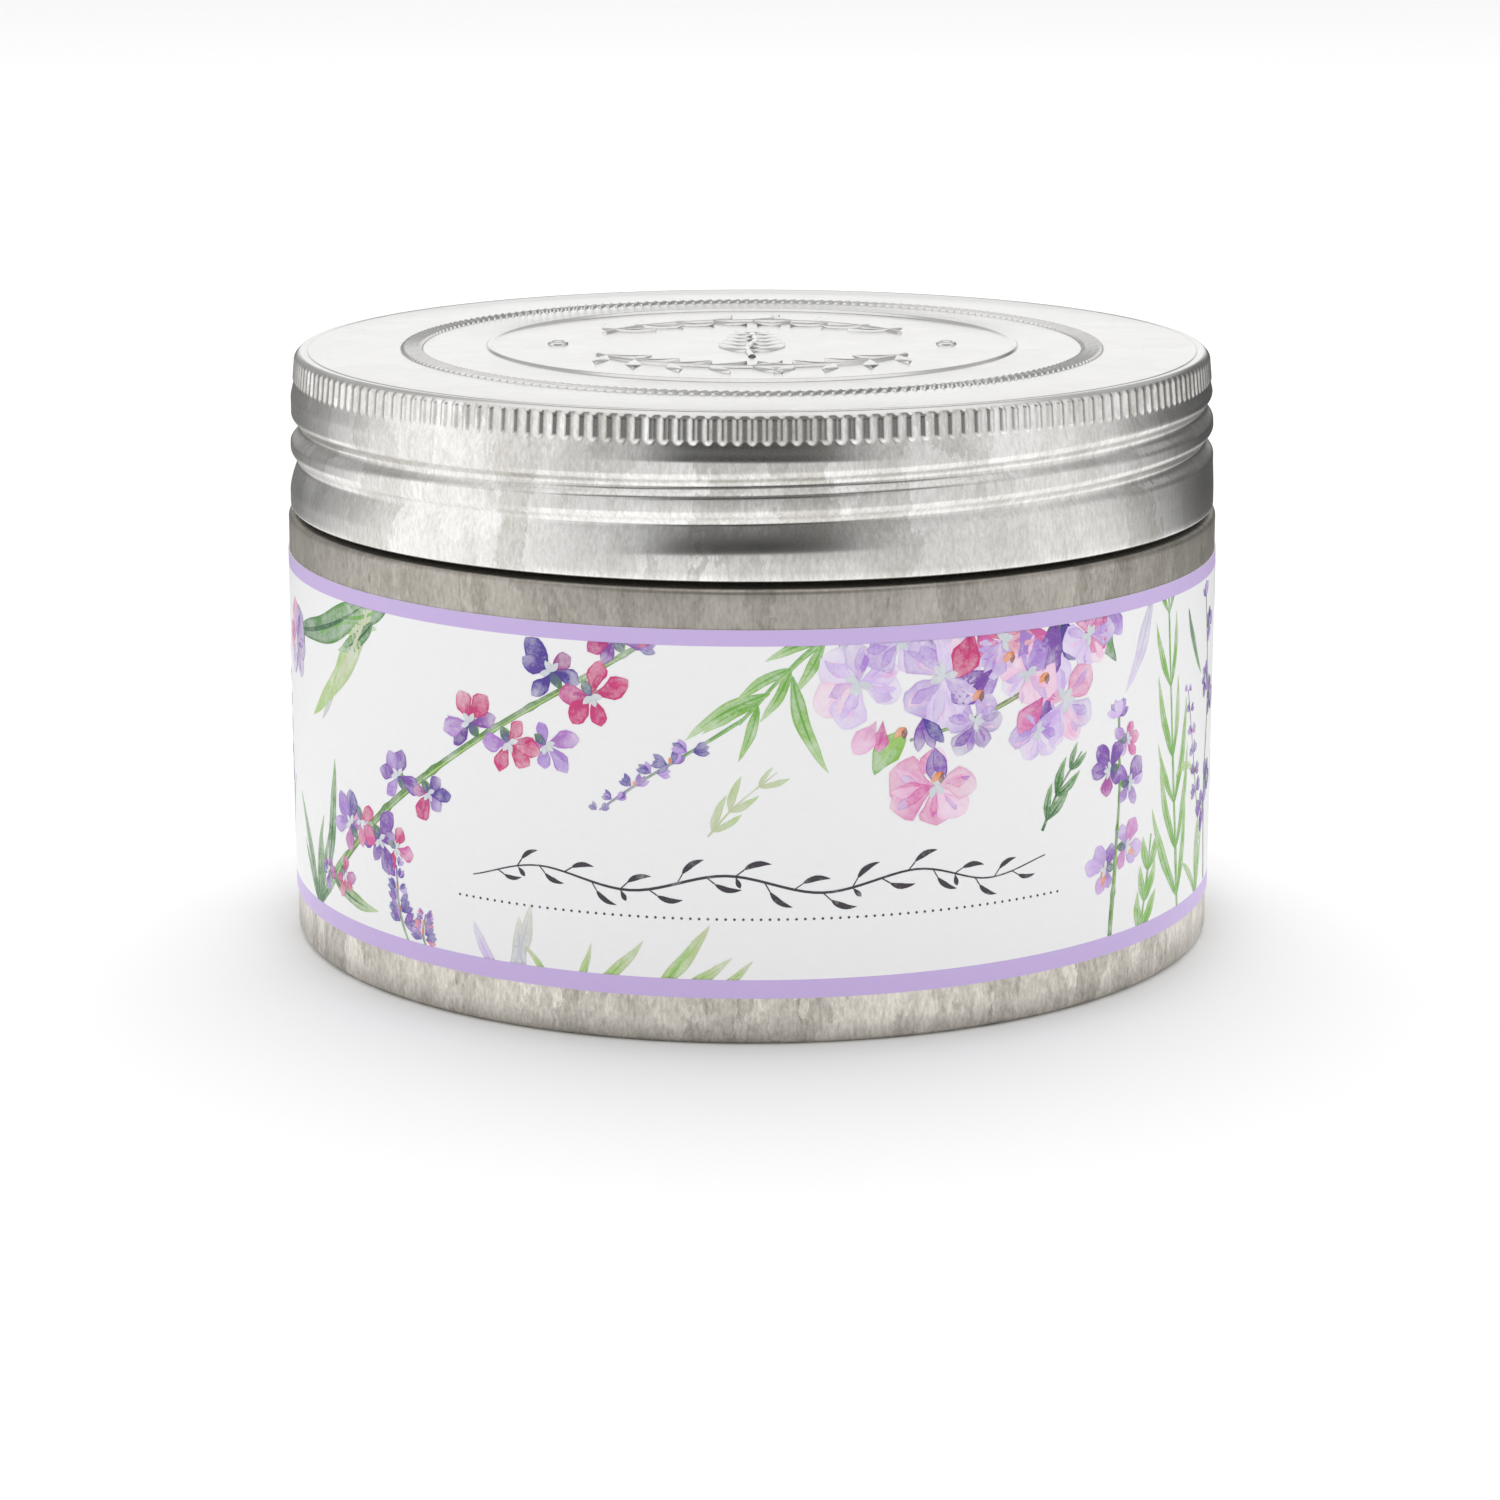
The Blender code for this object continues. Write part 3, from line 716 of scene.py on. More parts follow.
class Painter:
    """Paints plants with brush marks; positions in millimetres along and up the label."""

    def __init__(self, marks, shift=0.0, seed=3):
        self.marks = marks
        self.shift = shift
        self.random = random.Random(seed)

    def stroke(self, path, widths, **settings):
        """Put one mark on the label."""
        placed = [((self.shift + u) * MM, v * MM) for u, v in path]
        self.marks.mark(placed, [max(width, 0.02) * MM for width in widths], **settings)

    def dab(self, u, v, angle, length, width, fullness, colours, wash, bend=0.0, layer=4, wobble=0.06):
        """A leaf or petal that leaves (u, v) at an angle in degrees; fullness moves its widest point."""
        steps = max(11, int(1.6 * length) + 2)
        path, widths = [], []
        for index in range(steps):
            t = 0.5 - 0.5 * cos(pi * index / (steps - 1))
            turn = radians(angle + bend * t)
            path.append((u + length * t * cos(turn), v + length * t * sin(turn)))
            widths.append(width * sin(pi * t ** fullness) ** 0.85)
        self.stroke(path, widths, first=colours[0], last=colours[1], wash=wash, wobble=wobble, layer=layer)

    def petal(self, u, v, angle, length, width, colour, layer, pale):
        """A rounded petal with a darker root and two brush runs on it."""
        rng = self.random
        deep = [value * 0.86 for value in colour]
        self.dab(u, v, angle, length, width, 1.6, (deep, colour), (1.2, pale), rng.uniform(-16, 16),
                 layer, 0.1)
        for _ in range(2):
            aside = rng.uniform(-14.0, 14.0)
            reach = length * rng.uniform(0.5, 0.8)
            self.dab(u, v, angle + aside, reach, width * rng.uniform(0.14, 0.3), 1.2, (deep, deep),
                     (1.25, rng.uniform(0.8, 1.1)), rng.uniform(-10, 10), layer + 1)

    def floret(self, u, v, size, facing, colours, petals, spread):
        """A small flower: rounded petals fanned round a silvery throat."""
        rng = self.random
        leading = colours[rng.randrange(len(colours))]
        for k in range(petals):
            angle = facing + spread * (k / max(1, petals - 1) - 0.5) + rng.uniform(-14, 14)
            length = size * rng.uniform(0.72, 1.2)
            other = colours[rng.randrange(len(colours))]
            share = rng.choice((0.0, 0.2, 0.5, 0.9))
            colour = [a + (b - a) * share for a, b in zip(leading, other)]
            self.petal(u, v, angle, length, length * rng.uniform(0.24, 0.35), colour,
                       4 + (2 * k) % PETAL_LAYERS, FLORET_WASH * rng.uniform(0.75, 1.1))
        self.dab(u, v, facing + 180.0, size * 0.5, size * 0.15, 1.0, (VIOLET, STEM), (1.1, 1.0), 0.0, 12)
        for k in range(3):
            angle = facing + 70.0 * (k - 1) + rng.uniform(-15, 15)
            self.dab(u, v, angle, size * 0.34, size * 0.09, 1.0, (SILVER, SILVER), (1.0, 0.8), 0.0, 14)

    def bud(self, u, v, size, angle, colours, layer=5):
        """A closed bud: three narrow petals from one foot."""
        rng = self.random
        for k in range(3):
            colour = colours[rng.randrange(len(colours))]
            self.dab(u, v, angle + 24.0 * (k - 1) + rng.uniform(-6, 6), size * rng.uniform(0.8, 1.05),
                     size * 0.2, 1.2, (colour, colour), (1.05, 0.75), 0.0, layer + 2 * k)

    def leaf(self, u, v, angle, length, width, colours, bend=12.0, wash=(1.0, 0.7)):
        """A pointed leaf with a darker vein."""
        self.dab(u, v, angle, length, width, 0.85, colours, wash, bend, 2, 0.1)
        self.dab(u, v, angle, length * 0.8, width * 0.16, 0.8, (colours[0], colours[0]), (1.25, 1.0),
                 bend * 0.8, 3)

    def leaves(self, rows):
        """Several leaves, one for each row of leaf's arguments."""
        for row in rows:
            self.leaf(*row)

    def stem(self, points, width, colours=(STEM, STEM), knots=0):
        """A tapering stem; knots are the number of nodes along it."""
        path = through(points, 12)
        last = len(path) - 1
        widths = []
        for k in range(last + 1):
            on_knot = knots and abs(sin(pi * knots * k / last)) > 0.97
            widths.append(width * (1.0 - 0.45 * k / last) * (1.0 + 0.35 * on_knot))
        self.stroke(path, widths, first=colours[0], last=colours[1], wash=(1.0, 0.9), wobble=0.12, layer=1)
        self.stroke([(u + width * 0.45, v) for u, v in path[2:-2]], [w * 0.22 for w in widths[2:-2]],
                    first=LEAF_LIGHT, wash=(1.0, 1.0), wobble=0.3, layer=2)
        return path

    def lavender(self, points, width, places, size, colours, tip=3):
        """A flowering stem: florets at shares of its length, each to one side, and buds at its tip."""
        path = self.stem(points, width, knots=len(places) + 2)
        last = len(path) - 1
        for share, side, scale in places:
            index = min(last - 1, int(share * last))
            u, v = path[index]
            along = heading(path, index)
            out = radians(along + 90.0 * side)
            reach = size * 0.55 * scale
            cu, cv = u + reach * cos(out), v + reach * sin(out)
            self.dab(u, v, along + 70.0 * side, reach * 1.2, size * 0.12, 1.0, (STEM, LEAF), (1.0, 0.9),
                     0.0, 3)
            self.floret(cu, cv, size * scale, along + 90.0 * side, colours, 5, 250.0)
        along = heading(path, last - 2, 2)
        for k in range(tip):
            self.bud(*path[-1], size * 0.75, along + 40.0 * (k - (tip - 1) / 2.0), colours, 5)

    def heads(self, points, size, colours, width=0.22):
        """A thin stem with little bud heads that shrink towards its end."""
        path = self.stem(points, width, colours=(LEAF, PURPLE))
        last = len(path) - 1
        for k in range(HEADS_ON_STEM):
            u, v = path[last - int(last * 0.78 * k / HEADS_ON_STEM)]
            scale = size * (0.6 + 0.11 * k)
            for side in (-1, 1):
                lean = self.random.uniform(-25, 25)
                self.bud(u + side * 0.35, v, scale, 90.0 - side * 58.0 + lean, colours, 4 + k % 3)
            if k in (2, 4):
                self.dab(u, v, 90.0, scale * 0.4, 0.16, 1.0, (ORANGE, ORANGE), (1.0, 1.0), 0.0, 13)

    def foliage(self, points, width, count, length, colours, start=0.1, stop=0.95, slim=0.11):
        """A stem with pairs of narrow leaves."""
        rng = self.random
        path = self.stem(points, width, colours=(colours[0], colours[0]))
        last = len(path) - 1
        for k in range(count):
            share = start + (stop - start) * k / max(1, count - 1)
            index = min(last - 1, int(share * last))
            u, v = path[index]
            along = heading(path, index)
            for side in (-1.0, 1.0):
                reach = length * rng.uniform(0.75, 1.1) * (1.0 - 0.35 * share)
                self.leaf(u, v, along + side * rng.uniform(24.0, 38.0), reach, reach * slim, colours,
                          side * -12.0, (1.05, 0.75))

    def grass(self, u, v, blades, length, colours, lean=90.0, spread=70.0):
        """A tuft of thin blades."""
        rng = self.random
        for k in range(blades):
            angle = lean + spread * (k / max(1, blades - 1) - 0.5) + rng.uniform(-6, 6)
            reach = length * rng.uniform(0.6, 1.05)
            self.leaf(u + rng.uniform(-0.4, 0.4), v, angle, reach, reach * 0.055, colours,
                      rng.uniform(-24, 24))

    def blossom(self, u, v, size, facing, colours):
        """A large pale flower: soft washes, veins and a silver heart."""
        rng = self.random
        for k in range(BLOSSOM_PETALS):
            angle = facing + 330.0 * (k / BLOSSOM_PETALS - 0.5) + rng.uniform(-12, 12)
            length = size * rng.uniform(0.8, 1.1)
            colour = colours[rng.randrange(len(colours))]
            pale = [a + (b - a) * 0.3 for a, b in zip(colour, PAPER_WHITE)]
            layer = 4 + (k * 3) % PETAL_LAYERS
            wash = rng.choice(((1.05, 0.6), (0.5, 0.95), (0.8, 0.75), (0.62, 0.45)))
            self.dab(u, v, angle, length, length * rng.uniform(0.3, 0.44), 1.6, (colour, pale), wash,
                     rng.uniform(-20, 20), layer, 0.12)
            for run in range(3):
                tone = (PALE_PINK, LILAC, colour)[run]
                start = length * rng.uniform(0.0, 0.35)
                lean = angle + rng.uniform(-12, 12)
                self.dab(u + start * cos(radians(lean)), v + start * sin(radians(lean)), lean,
                         (length - start) * rng.uniform(0.6, 0.95), length * rng.uniform(0.05, 0.15), 1.4,
                         (colour, tone), (rng.uniform(0.5, 1.1), rng.uniform(0.5, 1.0)), rng.uniform(-20, 20),
                         layer + 1 + run, 0.14)
        for k in range(4):
            self.dab(u, v, facing + 60.0 * k + rng.uniform(-20, 20), size * 0.3, size * 0.08, 1.0,
                     (SILVER, SILVER), (1.0, 0.9), 0.0, 14)


def garden(painter):
    """One half turn of the label's flowers and leaves."""
    small = (VIOLET, VIOLET, PURPLE, LILAC)
    mixed = (VIOLET, PURPLE, HOT_PINK, LILAC)
    rosy = (PINK, HOT_PINK, PURPLE, PALE_PINK)
    berry = (PINK, PURPLE, LILAC)
    pale = (PALE_PINK, LILAC, PALE_LILAC, PINK)
    fresh = (LEAF, LEAF_LIGHT)
    deep = (LEAF_DARK, LEAF)
    mist = (GREY_LILAC, SAGE)
    haze = (GREY_LILAC, PALE_LILAC)

    # Brush leaves and pale shadows behind the left sprig
    painter.leaves([
        (-72, 40.5, 4, 26, 1.9, deep, 16),
        (-64, 41, 30, 15, 1.6, fresh, -18),
        (-57.5, 44.5, -2, 12.5, 1.5, (LEAF, LEAF_DARK), 22),
        (-50, 45, -134, 9.5, 1, deep, -16),
        (-50, 48, -118, 24, 1.6, (SAGE, LEAF_LIGHT), -16, (1.05, 0.9)),
        (-57, 41, -112, 12, 0.8, (LEAF_LIGHT, GREY_LILAC), -10, (1, 0.8))])
    painter.grass(-66, 7, 6, 15, deep, 84, 80)
    painter.leaf(-62.5, 12, 74, 15, 0.9, deep, 6)
    painter.leaf(-61, 12, -24, 11, 0.9, (LEAF_DARK, LEAF_LIGHT), 14)
    painter.blossom(-74, 38, 5.6, 110, berry)

    # Long diagonal lavender sprig
    painter.lavender([(-64, 9), (-56, 16.5), (-45.5, 25), (-34, 33), (-22, 40.5), (-13, 46)],
                     0.52, [(0.08, 1, 0.7), (0.14, -1, 0.8), (0.24, 1, 1.2), (0.3, -1, 1.15), (0.42, 1, 1.1),
                            (0.47, -1, 1), (0.62, 1, 1.15), (0.68, -1, 1.15), (0.8, 1, 1.25),
                            (0.86, -1, 1.2), (0.97, 1, 1.1)], 3.4, mixed, 2)
    painter.floret(-53.5, 20.5, 3.6, -70, rosy, 4, 240)
    painter.floret(-46.5, 18.5, 3, -30, (PINK, HOT_PINK), 3, 200)
    painter.floret(-24, 34, 3.6, -40, berry, 5, 280)

    # Leafy twig that ends in small buds
    painter.foliage([(8.5, 47.5), (3.5, 43), (-1.5, 37.5)], 0.34, 3, 9.5, fresh, 0.05, 0.8, 0.085)
    painter.heads([(-1, 38), (-6.5, 34.5), (-12, 31), (-17.5, 27)], 1.9, small)
    painter.leaves([(4.5, 43, -84, 12, 0.85, fresh, 14),
                    (2, 41, 196, 11, 0.8, fresh, 14),
                    (10.5, 47, -112, 10, 1.2, haze, 20, (0.8, 0.5))])
    painter.foliage([(-5, 24.5), (-2, 28), (2.8, 32)], 0.14, 3, 5, (SAGE, LEAF_LIGHT), 0.1, 0.8, 0.1)

    # Hanging cluster of large pale flowers
    painter.stem([(46, 48), (38, 42), (28, 37.5), (18, 35)], 0.35, (BROWN, STEM))
    painter.leaves([(38, 48, -120, 12, 1.2, deep, 14),
                    (44, 47.5, -80, 7.5, 1.3, (LEAF, LEAF_DARK), 16),
                    (17.5, 36, 214, 6, 1.5, (LEAF_LIGHT, LEAF), 18)])
    for blossom in (
            (17, 46.5, 4.4, 100, (PALE_LILAC, LILAC)), (34.5, 34.5, 4, -120, (LILAC, PALE_LILAC)),
            (12, 42, 5.6, 150, (PALE_LILAC, PALE_PINK, LILAC)),
            (22, 42, 6, 20, (LILAC, PALE_LILAC)), (29.5, 45.5, 5, -60, (PURPLE, HOT_PINK, LILAC)),
            (38.5, 37.5, 5.8, -80, pale), (33, 41.5, 4.6, -150, (PALE_PINK, PALE_LILAC)),
            (42.5, 44.5, 4.6, 60, pale), (26, 36.5, 4.2, -60, (LILAC, PURPLE)),
            (21, 29.6, 5.4, -90, (PALE_PINK, PINK, LILAC))):
        painter.blossom(*blossom)
    painter.bud(19.5, 37.5, 4, -70, (PURPLE, VIOLET), 6)
    painter.bud(21, 34, 4.4, -100, (PURPLE, PINK), 6)
    for u, v, size, angle, first, second in (
            (25.5, 47.5, 6, -95, HOT_PINK, PINK), (37, 47.5, 7.5, -92, PURPLE, VIOLET),
            (32, 47, 6.5, -70, LILAC, PINK), (45, 48, 6, -100, PINK, LILAC),
            (28.5, 42.5, 6.5, -150, PURPLE, LILAC), (14, 37.5, 4.5, -120, PALE_PINK, PINK),
            (35.5, 38.5, 5.5, -130, PINK, PURPLE)):
        painter.petal(u, v, angle, size, size * 0.3, first, 10, 0.8)
        painter.petal(u + 0.8, v, angle + 24, size * 0.8, size * 0.2, second, 8, 0.7)
    for u, v in ((17.5, 36.5), (22, 31), (27, 40), (36, 41), (31, 44)):
        painter.dab(u, v, 200, 1.7, 0.45, 1, (ORANGE, ORANGE), (1, 0.7), 20, 15)
        painter.dab(u, v, 250, 1.3, 0.35, 1, (BROWN, BROWN), (1, 0.8), 10, 15)

    # Small leaf sprig, upright lavender and tall foliage on the right
    painter.foliage([(35.5, 22.5), (38, 27), (41.5, 31)], 0.2, 3, 5.2, deep, 0.15, 0.75, 0.12)
    painter.lavender([(47, 7), (47.8, 16), (48.4, 25), (48, 34)], 0.36,
                     [(0.36, 1, 1.05), (0.42, -1, 1.1), (0.72, -1, 1.1), (0.78, 1, 1.1), (0.9, -1, 0.9)], 3.1,
                     (LILAC, PINK, PURPLE, PALE_LILAC), 3)
    for u, v, angle, length in ((46, 17, 250, 3), (50, 18.5, 300, 2.4)):
        painter.dab(u, v, angle, length, 0.4, 1, (ORANGE, ORANGE), (1, 0.8), 14, 13)
    painter.foliage([(53, 6), (54.5, 12), (55.5, 18.5)], 0.25, 3, 6.5, fresh, 0.1, 0.7, 0.14)
    painter.foliage([(63.5, 6), (62, 18), (60.5, 30), (58.5, 47.5)], 0.34, 6, 14, fresh, 0.1, 0.95,
                    0.055)
    painter.heads([(72, 14), (69, 23), (65.5, 34)], 1.7, (PURPLE, VIOLET, LILAC), 0.18)
    painter.leaves([(65, 44, -70, 11, 0.55, deep, 14),
                    (62, 24, 38, 7, 0.5, (LEAF_LIGHT, SAGE), -50),
                    (54.5, 47.5, -104, 12, 1, haze, -12, (0.85, 0.5))])
    painter.lavender([(76, 8), (74.5, 20), (75.5, 32), (73, 44)], 0.34,
                     [(0.3, 1, 1), (0.38, -1, 1), (0.66, -1, 1.1), (0.74, 1, 1), (0.9, -1, 0.9)], 2.8,
                     small, 2)
    painter.grass(71, 7, 5, 11, fresh, 92, 60)

    # Low growth along the bottom
    painter.heads([(-44, 6.5), (-46, 11), (-46.5, 16.5)], 2, small)
    painter.heads([(-41, 6.5), (-42, 9), (-41.5, 11.5)], 1.6, mixed)
    painter.leaves([(-29, 6.5, 62, 9, 0.95, mist, 10, (0.9, 0.6)),
                    (-27, 6.5, 108, 7, 0.85, mist, -12, (0.9, 0.6)),
                    (-31, 6.8, 132, 6, 0.7, (PALE_LILAC, GREY_LILAC), -12, (0.9, 0.6))])
    for u, length, angle in ((-24, 5, 118), (-18.5, 8.5, 34), (-11.5, 10.5, 40), (-9, 8, 22),
                             (-4.5, 6, 30), (-20.5, 5.5, 60)):
        painter.leaf(u, 6.2, angle, length, length * 0.075, (LEAF_LIGHT, SAGE), 10, (1.1, 0.95))
        painter.leaf(u + 0.6, 6.2, angle + 6, length * 0.7, length * 0.03, fresh, 10)


def side_growth(painter):
    """Grass and two stems for the strip between two gardens."""
    painter.grass(0, 6.8, 7, 20, (LEAF_DARK, LEAF), 92, 74)
    painter.foliage([(-6, 47.5), (-3, 38), (-1, 27)], 0.32, 6, 8, (LEAF, LEAF_LIGHT), 0.08, 0.95, 0.12)
    painter.heads([(5, 12), (6, 22), (4, 35)], 2.6, (VIOLET, PURPLE, LILAC), 0.3)


def ink_twig(painter):
    """A fine pen-drawn twig in place of the lettering above the dotted rule."""
    pen = dict(first=INK, wash=(1.3, 1.3), wobble=0.1, layer=3)
    wave = through([(-34, 17.6), (-25, 19.8), (-14, 17.9), (-3, 20), (8, 17.9), (19, 20),
                    (28, 18), (36, 19.6)], 10)
    last = len(wave) - 1
    painter.stroke(wave, [0.07 + 0.08 * sin(pi * k / last) for k in range(last + 1)], **pen)
    for k in range(21):
        index = 4 + 3 * k
        u, v = wave[index]
        along = heading(wave, index)
        side = 1 if k % 2 else -1
        lean = along + side * 46
        length = 2.9 + 1.3 * sin(pi * index / last)
        reach = length * 0.3
        foot = (u + reach * cos(radians(lean)), v + reach * sin(radians(lean)))
        painter.stroke([(u, v), foot], [0.07, 0.07], **pen)
        painter.dab(*foot, lean, length * 0.75, length * 0.085, 0.85, (INK, INK), (1.3, 1.2), side * -26, 3,
                    0.05)
        if k % 4 == 1:
            painter.dab(u, v, along - side * 60, 1.5, 0.3, 1.6, (INK, INK), (1.3, 1.3), 0, 3, 0)


RULE_SPAN = (-36.0, 38.0)
RULE_HEIGHT = 14.9
DOT_R = 0.17


def dotted_rule(painter, low, high, height):
    """A printed row of fine dots."""
    count = int(high - low)
    for k in range(count + 1):
        u = low + (high - low) * k / count
        painter.dab(u - DOT_R, height, 0.0, 2.0 * DOT_R, DOT_R, 1.0, (GREY, GREY), (1.3, 1.3), 0.0, 1, 0.0)


def trim_to_bands(item, low, high):
    """Cut a mesh off at two heights and close the cuts."""
    mesh = bmesh.new()
    mesh.from_mesh(item.data)
    for height, up in ((low, -1.0), (high, 1.0)):
        everything = mesh.verts[:] + mesh.edges[:] + mesh.faces[:]
        cut = bmesh.ops.bisect_plane(mesh, geom=everything, plane_co=(0.0, 0.0, height),
                                     plane_no=(0.0, 0.0, up), clear_outer=True)
        edges = [e for e in cut["geom_cut"] if isinstance(e, bmesh.types.BMEdge)]
        bmesh.ops.holes_fill(mesh, edges=edges, sides=0)
    mesh.to_mesh(item.data)
    mesh.free()


def build_artwork(paper):
    """The label's printed flowers, cut off at the coloured bands."""
    marks = Strokes(label_point, base=0.012 * MM, crown=0.0006 * MM, sunk=0.05 * MM, step=0.0035 * MM,
                    wide=0.8 * MM)
    half_turn = pi * LABEL_R / MM
    garden(Painter(marks))
    garden(Painter(marks, half_turn, 8))
    for number, centre in enumerate((0.5, 1.5)):
        side_growth(Painter(marks, half_turn * centre, 20 + number))
    dotted_rule(Painter(marks), *RULE_SPAN, RULE_HEIGHT)
    ink_twig(Painter(marks, 0.0, 31))
    art = marks.build("label_artwork", watercolour("watercolour_print", paper))
    trim_to_bands(art, LABEL_LOW.z + BAND_LOW, LABEL_HIGH.z - BAND_HIGH)
    return place(art, "tin", "body_label")


# ---------------------------------------------------------------- lid emblem

def panel_point(u, v, lift):
    """Point on the lid's flat top."""
    return (u, v, PANEL_Z + lift)


EMBOSS_SIDES = (-1.0, -0.95, -0.86, -0.72, -0.5, 0.0, 0.5, 0.72, 0.86, 0.95, 1.0)
BRANCH_R = 21.0
BRANCH_POINTS = 30
STUD_FROM_CENTRE = 23.9
STUD_R = 0.95
UNPRINTED = ((0.0, 0.0, 0.0), (0.0, 0.0, 0.0))


def build_emblem(material):
    """Pressed ornament in place of words: two leafy branches, a sprig between them and two studs."""
    marks = Strokes(panel_point, base=0.01 * MM, crown=0.33 * MM, sunk=0.15 * MM, wide=0.1 * MM,
                    sides=EMBOSS_SIDES, power=2.3)
    painter = Painter(marks)

    def pressed_leaf(u, v, angle, length, width, fullness=0.95, bend=0.0):
        """A leaf in relief; its colours and wash have no effect on metal."""
        painter.dab(u, v, angle, length, width, fullness, UNPRINTED, (1.0, 1.0), bend, 0, 0.0)

    for side in (-1.0, 1.0):
        branch = [(BRANCH_R * cos(a), side * BRANCH_R * sin(a))
                  for a in np.radians(np.linspace(28.0, 152.0, BRANCH_POINTS))]
        painter.stroke(branch, [0.42] * BRANCH_POINTS)
        for k in range(9):
            angle = 34.0 + 14.0 * k
            a = radians(angle)
            turn = 90.0 if angle < 90.0 else -90.0
            for offset in (-1.0, 1.0):
                pressed_leaf(BRANCH_R * cos(a), side * BRANCH_R * sin(a),
                             side * (angle + turn + offset * 48.0), 5.4, 1.0)
    sprig = through([(0.0, -11.5), (-0.6, -4.0), (0.4, 3.0), (0.0, 9.0)], 8)
    painter.stroke(sprig, [0.5] * len(sprig))
    for k in range(5):
        for offset in (-1.0, 1.0):
            pressed_leaf(0.0, -7.5 + 3.4 * k, 90.0 - offset * 46.0, 7.6 - 0.9 * k, 1.15, bend=offset * 14.0)
    pressed_leaf(0.0, 8.5, 90.0, 4.4, 1.2, 0.9)
    for centre in (-STUD_FROM_CENTRE, STUD_FROM_CENTRE):
        ring = [(centre + STUD_R * cos(a), STUD_R * sin(a)) for a in np.linspace(0.0, TAU, 25)]
        painter.stroke(ring, [0.34] * len(ring))
    return place(marks.build("lid_emblem", material), "lid", "lid_shell")


# ---------------------------------------------------------------- wax, wicks and inner pieces

WAX_COLUMNS = 360
WAX_CORNER_R = 0.8 * MM
WAX_SAG = 0.55 * MM
WAX_WICK_DIP = 0.35 * MM
WAX_WICK_CLIMB = 0.6 * MM
WAX_RIPPLE = 0.05 * MM
BRAID_STRANDS = 3.0
BRAID_PITCH = 4.2 * MM
BRAID_WAVE = 0.24
WICK_BOW = 0.35 * MM
BASE_LABEL_COLUMNS = 180
BASE_RINGS = ((36.5 * MM, 0.35 * MM), (35.2 * MM, 0.12 * MM))


def node_centre(name):
    """Middle of a CAD node's box."""
    low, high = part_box(name)
    return (low + high) / 2.0


def build_wax(material):
    """Poured wax: it climbs a little at the wall and at each wick, and dips round the wicks."""
    low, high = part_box("wax_fill")
    outer, corner = high.x, WAX_CORNER_R
    profile = np.concatenate([
        line(0.0, low.z, outer - corner, low.z, 3),
        arc(outer - corner, low.z + corner, corner, -80.0, 0.0, 5),
        line(outer, low.z + 4.0 * MM, outer, high.z, 6),
        line(outer - 0.5 * MM, high.z, 0.0, high.z, 58)])
    angles, radii, heights = turned(profile, WAX_COLUMNS)
    top = heights > high.z - 0.01 * MM
    from_wall = (outer - radii) / MM
    sag = WAX_SAG * (1.0 - np.exp(-from_wall / 1.6))
    x, y = radii * np.cos(angles), radii * np.sin(angles)
    for number in (1, 2, 3):
        centre = node_centre(f"wick_{number}")
        away = np.hypot(x - centre.x, y - centre.y) / MM
        sag = sag + WAX_WICK_DIP * np.exp(-(away / 4.0) ** 2) - WAX_WICK_CLIMB * np.exp(-(away / 1.5) ** 2)
    ripple = WAX_RIPPLE * np.sin(x / MM * 0.31 + 1.0) * np.sin(y / MM * 0.27)
    heights = heights - top * np.clip(sag + ripple * (from_wall > 3.0), 0.0, None)
    wax = shell("wax_pour", radii, heights, angles, [material], flip=True)
    return place(wax, "tin", "wax_fill", "wax_fill")


def build_wick(number, material):
    """A braided cotton wick, trimmed flat."""
    name = f"wick_{number}"
    low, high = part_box(name)
    centre = node_centre(name)
    thick = (high.x - low.x) / 2.0
    rows, columns = 200, 36
    height = np.linspace(low.z, high.z, rows)[:, None]
    angles = np.linspace(0.0, TAU, columns, endpoint=False)
    twist = TAU * height / BRAID_PITCH
    right = np.abs(np.sin((BRAID_STRANDS * angles + twist) / 2.0))
    left = np.abs(np.sin((BRAID_STRANDS * angles - twist) / 2.0))
    radii = thick * (1.0 - BRAID_WAVE + BRAID_WAVE * np.maximum(right, left) ** 1.5)
    ends = np.clip(np.minimum(height - low.z, high.z - height) / (0.3 * MM), 0.0, 1.0)
    radii = radii * (0.7 + 0.3 * ends)
    cap = np.full((1, columns), 0.0)
    radii = np.concatenate([cap, radii, cap])
    heights = np.repeat(np.concatenate([[[low.z]], height, [[high.z]]]), columns, axis=1)
    wick = shell(f"{name}_braid", radii, heights, angles, [material], flip=True)
    lean = radians(24.0 * number)
    for vert in wick.data.vertices:
        free = max(0.0, vert.co.z - WAX_Z) / (high.z - WAX_Z)
        bow = WICK_BOW * free * free
        vert.co.x += centre.x + bow * cos(lean)
        vert.co.y += centre.y + bow * sin(lean)
    return place(wick, "tin", "wick", name)


def build_base_label(paper, rule):
    """The round blank paper label under the can, with two fine printed rings."""
    low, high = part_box("base_label")
    outer = high.x
    profile = np.array([(0.0, low.z), (outer - 0.1 * MM, low.z), (outer, low.z + 0.05 * MM), (outer, high.z),
                        (0.0, high.z)])
    angles, radii, heights = turned(profile, BASE_LABEL_COLUMNS)
    sheet = shell("base_paper", radii, heights, angles, [paper], flip=True)
    place(sheet, "tin", "base_label", "base_label")
    verts, faces = [], []
    for radius, half in BASE_RINGS:
        start = len(verts)
        section = [(radius - half, low.z + 0.02 * MM), (radius - half, low.z - 0.01 * MM),
                   (radius + half, low.z - 0.01 * MM), (radius + half, low.z + 0.02 * MM)]
        for angle in angles:
            verts += [(r * cos(angle), r * sin(angle), z) for r, z in section]
        for k in range(len(angles)):
            here, following = start + 4 * k, start + 4 * ((k + 1) % len(angles))
            faces += [(here + j, here + (j + 1) % 4, following + (j + 1) % 4, following + j)
                      for j in range(4)]
    rings = add_mesh("base_rings", verts, faces, [rule], 30.0)
    return place(rings, "tin", "base_label")


